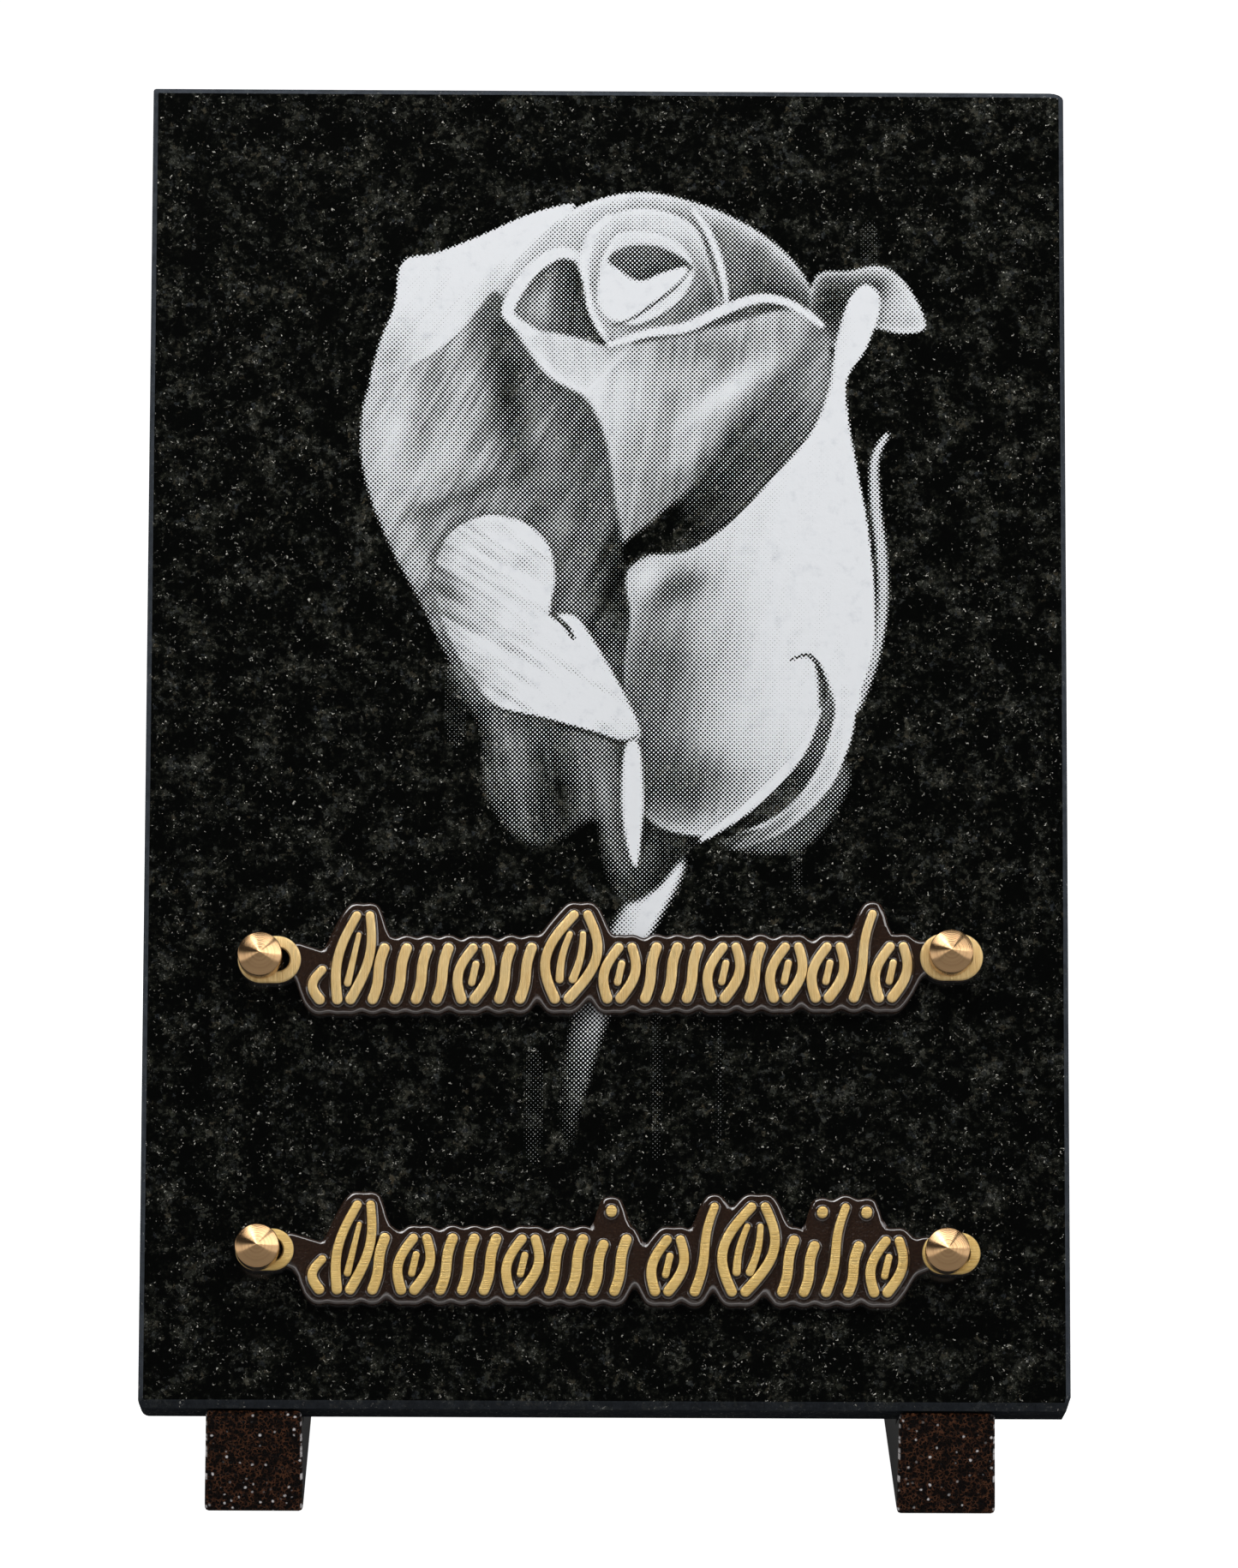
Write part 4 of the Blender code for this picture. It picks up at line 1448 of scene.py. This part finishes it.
def mirrored(across: float, bow: float, **shape: float) -> tuple[Line, ...]:
    """Two lines that mirror each other about their mark's middle, and share the rest of their shape."""
    return tuple(Line(foot=side * across, head=side * across, bow=side * bow, **shape) for side in (-1, 1))


DOT_WIDE = PEN.dot_radius / PEN.width * 2


class Mark(Enum):
    """The kinds of mark: the room that each takes along its row, and its lines."""

    SPACE = (0.0034, ())
    REED = (0.0050, (Line(sway=0.25),))
    DOTTED = (0.0050, (
        Line(sway=0.25, drop=DOT_WIDE),
        Line(base=PEN.tall - PEN.width - PEN.dot_radius, top=PEN.tall, drop=0.8, foot_wide=DOT_WIDE,
             head_wide=DOT_WIDE),
    ))
    MAST = (0.0052, (Line(top=PEN.tall, sway=0.4, head_wide=0.8),))
    LEAF = (0.0100, (
        *mirrored(1.25, 1.7, head_wide=0.9),
        Line(lift=3.1, drop=3.1, foot_wide=0.7, head_wide=0.7),
    ))
    CREST = (0.0150, (
        *mirrored(1.3, 3.5, top=PEN.tall, head_wide=0.9),
        *mirrored(1.25, 0.5, top=PEN.tall, lift=3.7, drop=3.7, foot_wide=0.8, head_wide=0.6),
    ))
    # A low leaflet, two tall sides about a rib, and a reed
    BUD = (0.0195, (
        Line(foot=-4.6, head=-5.4, top=PEN.leaflet, bow=-1.6, head_wide=0.8),
        *mirrored(1.25, 1.7, top=PEN.tall, head_wide=0.85),
        Line(top=PEN.tall, lift=3.1, drop=3.7, foot_wide=0.7, head_wide=0.5),
        Line(foot=5.45, head=5.45, sway=0.25),
    ))

    def __init__(self, room: float, lines: tuple[Line, ...]) -> None:
        """Keep the mark's room and lines."""
        self.room = room
        self.lines = lines

    @classmethod
    def row(cls, names: str) -> tuple["Mark", ...]:
        """The marks of a row, from their names."""
        return tuple(cls[name.upper()] for name in names.split())


@dataclass(frozen=True)
class Strip:
    """A cast inscription strip: a plate that follows its row of marks, with a slotted lug at each end.

    Its own axes start at its height, midway across the slab, and turn with its tilt.
    """

    axes: SlabAxes
    name: str
    height: float
    tilt: float
    hang: float
    screws: Pair
    lugs: Pair
    lug_length: float
    lug_height: float
    slot_length: float
    row_gap: float
    baseline_drop: float
    marks: tuple[Mark, ...]
    brushing: Brushing
    bare: Color
    rubbed: Color
    back: float = 0.0003
    thickness: float = 0.0026
    rim_round: float = 0.0009
    margin: float = 0.0024
    spine: float = 0.0046
    spine_step: float = 0.0023
    neck: float = 0.0042
    neck_steps: int = 4
    outline_step: float = 0.0005
    outline_ease: float = 0.0011
    # Where each point of the outline looks, in shares of outline_ease, and how much it counts
    ease_weights: tuple[tuple[float, int], ...] = ((-1, 1), (-0.5, 1), (0, 2), (0.5, 1), (1, 1))
    ease_reach: float = 0.95
    # The outline's extra points near its ends, in shares of a step
    end_shares: Pair = (0.05, 0.3)
    relief: float = 0.0015
    # A raised stroke's sides: how much wider it is, at levels from the plate's front and then from its own top
    stroke_foot: tuple[Pair, ...] = (
        (0.00055, -0.0004), (0.00050, 0.00002), (0.00028, 0.00012), (0.00015, 0.00035), (0.00007, 0.0008),
    )
    stroke_top: tuple[Pair, ...] = (
        (0.0, -0.00030), (-0.00009, -0.00012), (-0.00030, -0.00003), (-0.00060, 0.0),
    )
    lug_step: float = 0.0001
    lug_thickness: float = 0.0032
    lug_round: float = 0.0006
    lug_overlap: float = 0.0052
    slot_radius: float = 0.0027
    slot_flare: float = 0.0004
    # Neighbouring strokes touch at their feet, so they are joined on in turns.
    stroke_groups: int = 4
    smooth_angle: float = math.radians(40)

    def matrix(self) -> Matrix:
        """From the strip's own axes to the model's frame."""
        return self.axes.matrix() @ Matrix.Translation((0, self.height, 0)) @ Matrix.Rotation(self.tilt, 4, "Z")

    def row_limits(self) -> Range:
        """The row's ends, a gap away from the two lugs."""
        reach = self.lug_length / 2 + self.row_gap
        return self.lugs[0] + reach, self.lugs[1] - reach

    def strokes(self) -> list[Stroke]:
        """Draw the row, spread evenly over its length.

        Returns:
            Its strokes.
        """
        start, end = self.row_limits()
        stretch = (end - start) / sum(mark.room for mark in self.marks)
        x = start - PEN.height * math.tan(PEN.slant) / 2
        made = []
        for mark in self.marks:
            room = mark.room * stretch
            made += [line.stroke(x + room / 2, -self.baseline_drop) for line in mark.lines]
            x += room
        return made

    def discs(self) -> np.ndarray:
        """The discs whose union is the plate: a margin round each stroke, and a spine.

        Returns:
            Rows of x, y and radius.
        """
        made = []
        for part in self.strokes():
            for share, point in zip(np.linspace(0, 1, len(part.points)), part.points):
                made.append((*point, part.half_at(share) + self.margin))
        start, end = self.row_limits()
        middle = PEN.height / 2 - self.baseline_drop
        reach = self.row_gap + self.lug_overlap - self.neck
        count = round((end - start) / self.spine_step)
        for i in range(count + 1):
            near_end = max(0.0, 1 - min(i, count - i) / self.neck_steps)
            x = start - reach + (end - start + 2 * reach) * i / count
            made.append((x, middle * (1 - near_end), self.spine + (self.neck - self.spine) * near_end))
        return np.array(made)

    def plate_outline(self, inset: float) -> np.ndarray:
        """The plate's outline. Every inset gives as many points.

        Args:
            inset: how far in the outline is moved.

        Returns:
            The outline, anticlockwise.
        """
        x, y, radius = self.discs().T
        smaller = radius - inset
        first, last = (x - smaller).min(), (x + smaller).max()
        count = round(((x + radius).max() - (x - radius).min()) / self.outline_step)
        ends = np.array(self.end_shares) / count
        shares = np.concatenate((ends, np.arange(1, count) / count, 1 - ends[::-1]))
        xs = first + (last - first) * shares

        def reach(at: np.ndarray, up: int) -> np.ndarray:
            """The discs' edge.

            Args:
                at: places across.
                up: 1 for the highest edge, -1 for the lowest.

            Returns:
                The edge's level at each place.
            """
            off = at[:, None] - x
            height = up * y + np.sqrt(np.maximum(smaller**2 - off**2, 0))
            return up * np.where(abs(off) < smaller, height, -np.inf).max(axis=1)

        def eased(up: int) -> np.ndarray:
            """The same edge averaged a little to both sides, which fills the sharp notches.

            Args:
                up: 1 for the highest edge, -1 for the lowest.

            Returns:
                The eased edge's level at each of the outline's places.
            """
            step = np.minimum(np.minimum(self.outline_ease, xs - first), last - xs) * self.ease_reach
            total = sum(weight for _, weight in self.ease_weights)
            return sum(weight * reach(xs + step * shift, up) for shift, weight in self.ease_weights) / total

        bottom, top = np.column_stack((xs, eased(-1))), np.column_stack((xs, eased(1)))[::-1]
        left_tip, right_tip = (first, y[(x - smaller).argmin()]), (last, y[(x + smaller).argmax()])
        return np.vstack((left_tip, bottom, right_tip, top))

    def oval(self, x: float, length: float, height: float, inset: float, steps: int = 24) -> np.ndarray:
        """A lug's or slot's outline, on the strip's own line.

        Args:
            x: its middle.
            length: its length.
            height: its height, which rounds its ends.
            inset: how far in the outline is moved.
            steps: straight pieces of each round end.

        Returns:
            The outline, anticlockwise.
        """
        turns = np.radians(np.linspace(-90, 90, steps + 1))
        bow = np.column_stack((np.cos(turns), np.sin(turns))) * (height / 2 - inset)
        reach = (length - height) / 2
        return np.vstack((bow + (x + reach, 0), -bow + (x - reach, 0)))

    def _plate(self) -> bpy.types.Object:
        """The plate, with its front edge rounded over."""
        levels = [(0, self.back), *rounded_edge(self.rim_round, self.back + self.thickness)]
        return loft(self.name, [at_level(self.plate_outline(inset), z) for inset, z in levels])

    def _lug(self, x: float) -> bpy.types.Object:
        """One lug without its slot, with its front edge rounded over.

        Args:
            x: its middle.

        Returns:
            The lug.
        """
        low = self.back + self.lug_step
        levels = [(0, low), *rounded_edge(self.lug_round, low + self.lug_thickness)]
        return loft("lug", [at_level(self.oval(x, self.lug_length, self.lug_height, inset), z) for inset, z in levels])

    def _slot(self, x: float) -> bpy.types.Object:
        """The cutter of one lug's slot, flared at the front.

        Args:
            x: its middle.

        Returns:
            The cutter.
        """
        high = self.back + self.lug_step + self.lug_thickness
        flare = self.slot_flare
        levels = ((0, -self.back), (0, high - flare), (-flare * 0.4, high - flare * 0.4), (-flare * 2, high + flare))
        height = 2 * self.slot_radius
        return loft("slot", [at_level(self.oval(x, self.slot_length, height, inset), z) for inset, z in levels])

    def _raised(self, part: Stroke) -> bpy.types.Object:
        """One raised stroke, with a hollow foot, drafted sides and a softly domed top.

        Args:
            part: the stroke.

        Returns:
            The raised stroke.
        """
        front = self.back + self.thickness
        levels = [(wider, front + rise) for wider, rise in self.stroke_foot]
        levels += [(wider, front + self.relief + rise) for wider, rise in self.stroke_top]
        return loft("stroke", [at_level(part.outline(wider), z) for wider, z in levels])

    def build(self) -> bpy.types.Object:
        """Model and dress the strip.

        Returns:
            The strip.
        """
        piece = self._plate()
        for x in self.lugs:
            combine(piece, self._lug(x), Joining.ADD)
        raised = [self._raised(part) for part in self.strokes()]
        for first in range(self.stroke_groups):
            group = raised[first::self.stroke_groups]
            take(*group)
            bpy.ops.object.join()
            combine(piece, group[0], Joining.ADD)
        for x in self.lugs:
            combine(piece, self._slot(x), Joining.CUT)
        ends = (self.lugs[0] + self.lug_length / 2, self.lugs[1] - self.lug_length / 2)
        finish = CastBronze(self.axes, f"cast bronze, {self.brushing.name.lower()} brushing", brushing=self.brushing,
                            bare=self.bare, rubbed=self.rubbed, lug_ends=ends)
        piece.data.materials.clear()
        piece.data.materials.append(finish.make())
        settle(piece, self.matrix())
        piece.name = f"dressed_{self.name}"
        finish_piece(piece, self.name, self.smooth_angle)
        return piece


def at_level(outline: np.ndarray, z: float) -> np.ndarray:
    """A flat outline as a ring at one level."""
    return np.column_stack((outline, np.full(len(outline), z)))


def rounded_edge(radius: float, front: float) -> list[Pair]:
    """The insets and levels that round an edge over, up to the front."""
    turns = np.radians((0, 25, 50, 70, 90))
    return [(radius * (1 - math.cos(turn)), front - radius * (1 - math.sin(turn))) for turn in turns]


@dataclass(frozen=True)
class CapScrews:
    """The two turned cap screws that hold one strip: a shank, and a cap with a pointed face."""

    strip: Strip
    level: str
    shank_radius: float = 0.0020
    shank_depth: float = 0.0090
    shank_point: float = 0.0008
    seat: float = 0.0039
    cap_radius: float = 0.0052
    cap_side: float = 0.0062
    cap_cone: float = 0.0028
    cap_edge: float = 0.0003
    tip: float = 0.0002
    edge_steps: int = 5
    # The cone's rings from its rim to its point, as shares of the way in, and how far up its blunt point is
    cone_shares: tuple[float, ...] = (0.25, 0.5, 0.75, 0.95, 0.985)
    blunt: float = 0.98
    sides: int = 72
    smooth_angle: float = math.radians(22)

    def places(self) -> list[Pair]:
        """Where the screws are.

        Returns:
            Their middles in the slab's axes.
        """
        turn = Matrix.Rotation(self.strip.tilt, 2)
        middles = [turn @ Vector((x, self.strip.hang)) for x in self.strip.screws]
        return [(middle.x, self.strip.height + middle.y) for middle in middles]

    def profile(self) -> list[Pair]:
        """The turned outline.

        Returns:
            Its radii and levels, from the shank's point to the cap's.
        """
        side_top = self.seat + self.cap_side
        edge = self.cap_edge
        cone = math.atan2(self.cap_cone, self.cap_radius)
        made = [
            (self.tip, -self.shank_depth), (self.shank_radius - self.shank_point, -self.shank_depth),
            (self.shank_radius, self.shank_point - self.shank_depth), (self.shank_radius, self.seat),
            (self.cap_radius - edge, self.seat), (self.cap_radius, self.seat + edge),
        ]
        for turn in np.linspace(0, math.pi / 2 - cone, self.edge_steps):
            made.append((self.cap_radius - edge * (1 - math.cos(turn)), side_top - edge * (1 - math.sin(turn))))
        rim, level = made[-1]
        rise = side_top + self.cap_cone - level
        return made + [(rim * (1 - share), level + rise * min(share, self.blunt)) for share in self.cone_shares]

    def build(self, brass: bpy.types.Material) -> None:
        """Turn both screws.

        Args:
            brass: their material.
        """
        turns = np.linspace(0, 2 * np.pi, self.sides, endpoint=False)
        circle = np.column_stack((np.cos(turns), np.sin(turns)))
        for side, x in zip(("left", "right"), self.strip.screws):
            rings = [at_level(circle * radius + (x, self.strip.hang), z) for radius, z in self.profile()]
            node = f"cap_screw_{self.level}_{side}"
            piece = loft(f"dressed_{node}", rings)
            piece.data.materials.append(brass)
            settle(piece, self.strip.matrix())
            finish_piece(piece, node, self.smooth_angle)


@dataclass(frozen=True)
class Feet:
    """The two cast feet, whose packed form is right as it is."""

    axes: SlabAxes
    nodes = ("foot_left", "foot_right")

    def dress(self) -> None:
        """Give the feet their paint."""
        paint = HammeredPaint(self.axes).make()
        for node in self.nodes:
            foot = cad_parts[node]
            for slot in foot.material_slots:
                slot.material = paint
            log.info("%s: painted", node)


@dataclass(frozen=True)
class Light:
    """A softbox that faces the plaque."""

    name: str
    azimuth: float
    elevation: float
    distance: float
    width: float
    height: float
    radiance: float


@dataclass(frozen=True)
class Studio:
    """A pale floor, a soft room and softboxes round the plaque."""

    target: Vector = Vector((0, 0, 0.16))
    floor_size: float = 16.0
    floor_color: Color = (0.60, 0.60, 0.60)
    floor_glow: float = 1.0
    mirrored_color: Color = (0.30, 0.30, 0.30)
    mirrored_glow: float = 0.05
    floor_gap: float = 0.0005
    horizon: float = 1.0
    zenith: float = 0.02
    dusk: Range = (0.16, 0.42)
    lights: tuple[Light, ...] = (
        Light("left softbox", -46, 58, 1.4, 0.9, 0.8, 3.2),
        Light("right softbox", 56, 34, 1.5, 0.8, 1.0, 2.6),
        Light("overhead softbox", 0, 72, 1.3, 1.4, 0.7, 2.8),
    )

    def build(self) -> None:
        """Lay the floor, light the room and set up the softboxes."""
        self._lay_floor()
        self._light_room()
        for light in self.lights:
            self._hang(light)

    def _lay_floor(self) -> None:
        """The pale floor that shows, and a calmer one under it that the plaque mirrors."""
        shown = self._floor("floor", 0.0, self.floor_color, self.floor_glow)
        for way in ("diffuse", "glossy", "transmission", "shadow"):
            setattr(shown, f"visible_{way}", False)
        mirrored = self._floor("mirrored_floor", -self.floor_gap, self.mirrored_color, self.mirrored_glow)
        mirrored.visible_camera = False

    def _floor(self, name: str, height: float, color: Color, glow: float) -> bpy.types.Object:
        """One plain floor.

        Args:
            name: its name.
            height: its height.
            color: its colour.
            glow: how strongly it shines by itself.

        Returns:
            The floor.
        """
        deselect()
        bpy.ops.mesh.primitive_plane_add(size=self.floor_size, location=(0, 0, height))
        floor = bpy.context.object
        floor.name = name
        made = bpy.data.materials.new(name.replace("_", " "))
        made.use_nodes = True
        graph = Graph(made.node_tree)
        sockets = {"Base Color": (*color, 1.0), "Roughness": 0.9, "Specular IOR Level": 0.0,
                   "Emission Color": (1.0, 1.0, 1.0, 1.0), "Emission Strength": glow}
        shader = graph.node("ShaderNodeBsdfPrincipled", sockets=sockets)
        graph.node("ShaderNodeOutputMaterial", sockets={"Surface": shader.outputs[0]})
        floor.data.materials.append(made)
        return floor

    def _light_room(self) -> None:
        """A room that is bright round the horizon and dim above."""
        world = bpy.data.worlds.new("studio")
        world.use_nodes = True
        graph = Graph(world.node_tree)
        direction = graph.node("ShaderNodeTexCoord").outputs["Generated"]
        height = graph.parts(direction)[2]
        strength = self.horizon - height.smooth(*self.dusk) * (self.horizon - self.zenith)
        sky = graph.node("ShaderNodeBackground", sockets={"Color": (1, 1, 1, 1), "Strength": strength})
        graph.node("ShaderNodeOutputWorld", sockets={"Surface": sky.outputs[0]})
        bpy.context.scene.world = world

    def _hang(self, light: Light) -> None:
        """Hang one softbox. Its azimuth is 0 in front of the plaque and grows to the right.

        Args:
            light: the softbox.
        """
        azimuth, elevation = math.radians(light.azimuth), math.radians(light.elevation)
        way = Vector((math.sin(azimuth) * math.cos(elevation), -math.cos(azimuth) * math.cos(elevation),
                      math.sin(elevation)))
        data = bpy.data.lights.new(light.name, "AREA")
        data.shape = "RECTANGLE"
        data.size, data.size_y = light.width, light.height
        data.energy = light.radiance * math.pi * light.width * light.height
        lamp = bpy.data.objects.new(light.name, data)
        lamp.location = self.target + way * light.distance
        lamp.rotation_euler = way.to_track_quat("Z", "Y").to_euler()
        bpy.context.scene.collection.objects.link(lamp)


@dataclass(frozen=True)
class Camera:
    """The photograph's view, as a place and turn in the slab's axes."""

    axes: SlabAxes
    focal_pixels: float = 10666.9
    frame_height: int = 1830
    sensor: float = 36.0
    turn: Triple = (-10.048, 0.563, -0.261)
    shift: Pair = (-0.002942, 0.010245)
    distance: float = 2.1815

    def build(self) -> None:
        """Place the camera and make it the scene's."""
        turns = [Matrix.Rotation(math.radians(angle), 4, axis) for angle, axis in zip(self.turn, "XYZ")]
        facing = (turns[2] @ turns[1] @ turns[0]).transposed()
        stand = facing @ Vector((-self.shift[0], -self.shift[1], self.distance))
        middle = Matrix.Translation((0, self.axes.height / 2, 0))
        data = bpy.data.cameras.new("camera")
        data.sensor_width = self.sensor
        data.lens = self.focal_pixels / self.frame_height * self.sensor
        camera = bpy.data.objects.new("camera", data)
        camera.matrix_world = self.axes.matrix() @ middle @ Matrix.Translation(stand) @ facing
        bpy.context.scene.collection.objects.link(camera)
        bpy.context.scene.camera = camera


def main() -> None:
    """Dress the plaque and set the studio round it."""
    logging.basicConfig(level=logging.INFO, format="%(message)s")
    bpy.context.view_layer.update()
    axes = SlabAxes()
    Camera(axes).build()
    Slab(axes).build()
    upper = Strip(
        axes, "upper_inscription_strip", height=0.1070, tilt=math.radians(0.45), hang=0.0004,
        screws=(-0.0820, 0.0817), lugs=(-0.0799, 0.0820), lug_length=0.0151, lug_height=0.0114, slot_length=0.0096,
        row_gap=0.0019, baseline_drop=0.0110,
        marks=Mark.row("bud reed reed reed leaf reed reed crest leaf reed reed reed leaf reed leaf leaf mast leaf"),
        brushing=Brushing.UPRIGHT, bare=(0.90, 0.68, 0.34), rubbed=(0.68, 0.46, 0.19),
    )
    lower = Strip(
        axes, "lower_inscription_strip", height=0.0370, tilt=math.radians(-0.1), hang=0.0001,
        screws=(-0.0820, 0.0806), lugs=(-0.0804, 0.0817), lug_length=0.0139, lug_height=0.0101, slot_length=0.0086,
        row_gap=0.0032, baseline_drop=0.0107,
        marks=Mark.row("bud leaf reed reed reed leaf reed reed dotted reed space leaf mast crest reed dotted mast "
                       "dotted leaf"),
        brushing=Brushing.LEVEL, bare=(0.82, 0.60, 0.25), rubbed=(0.62, 0.41, 0.13),
    )
    screws = [CapScrews(upper, "upper"), CapScrews(lower, "lower")]
    brass = TurnedBrass(axes, screws=tuple(place for pair_of in screws for place in pair_of.places())).make()
    for strip, caps in zip((upper, lower), screws):
        strip.build()
        caps.build(brass)
    Feet(axes).dress()
    Studio().build()
    bpy.context.scene.view_settings.view_transform = "Standard"


if __name__ == "__main__":
    main()
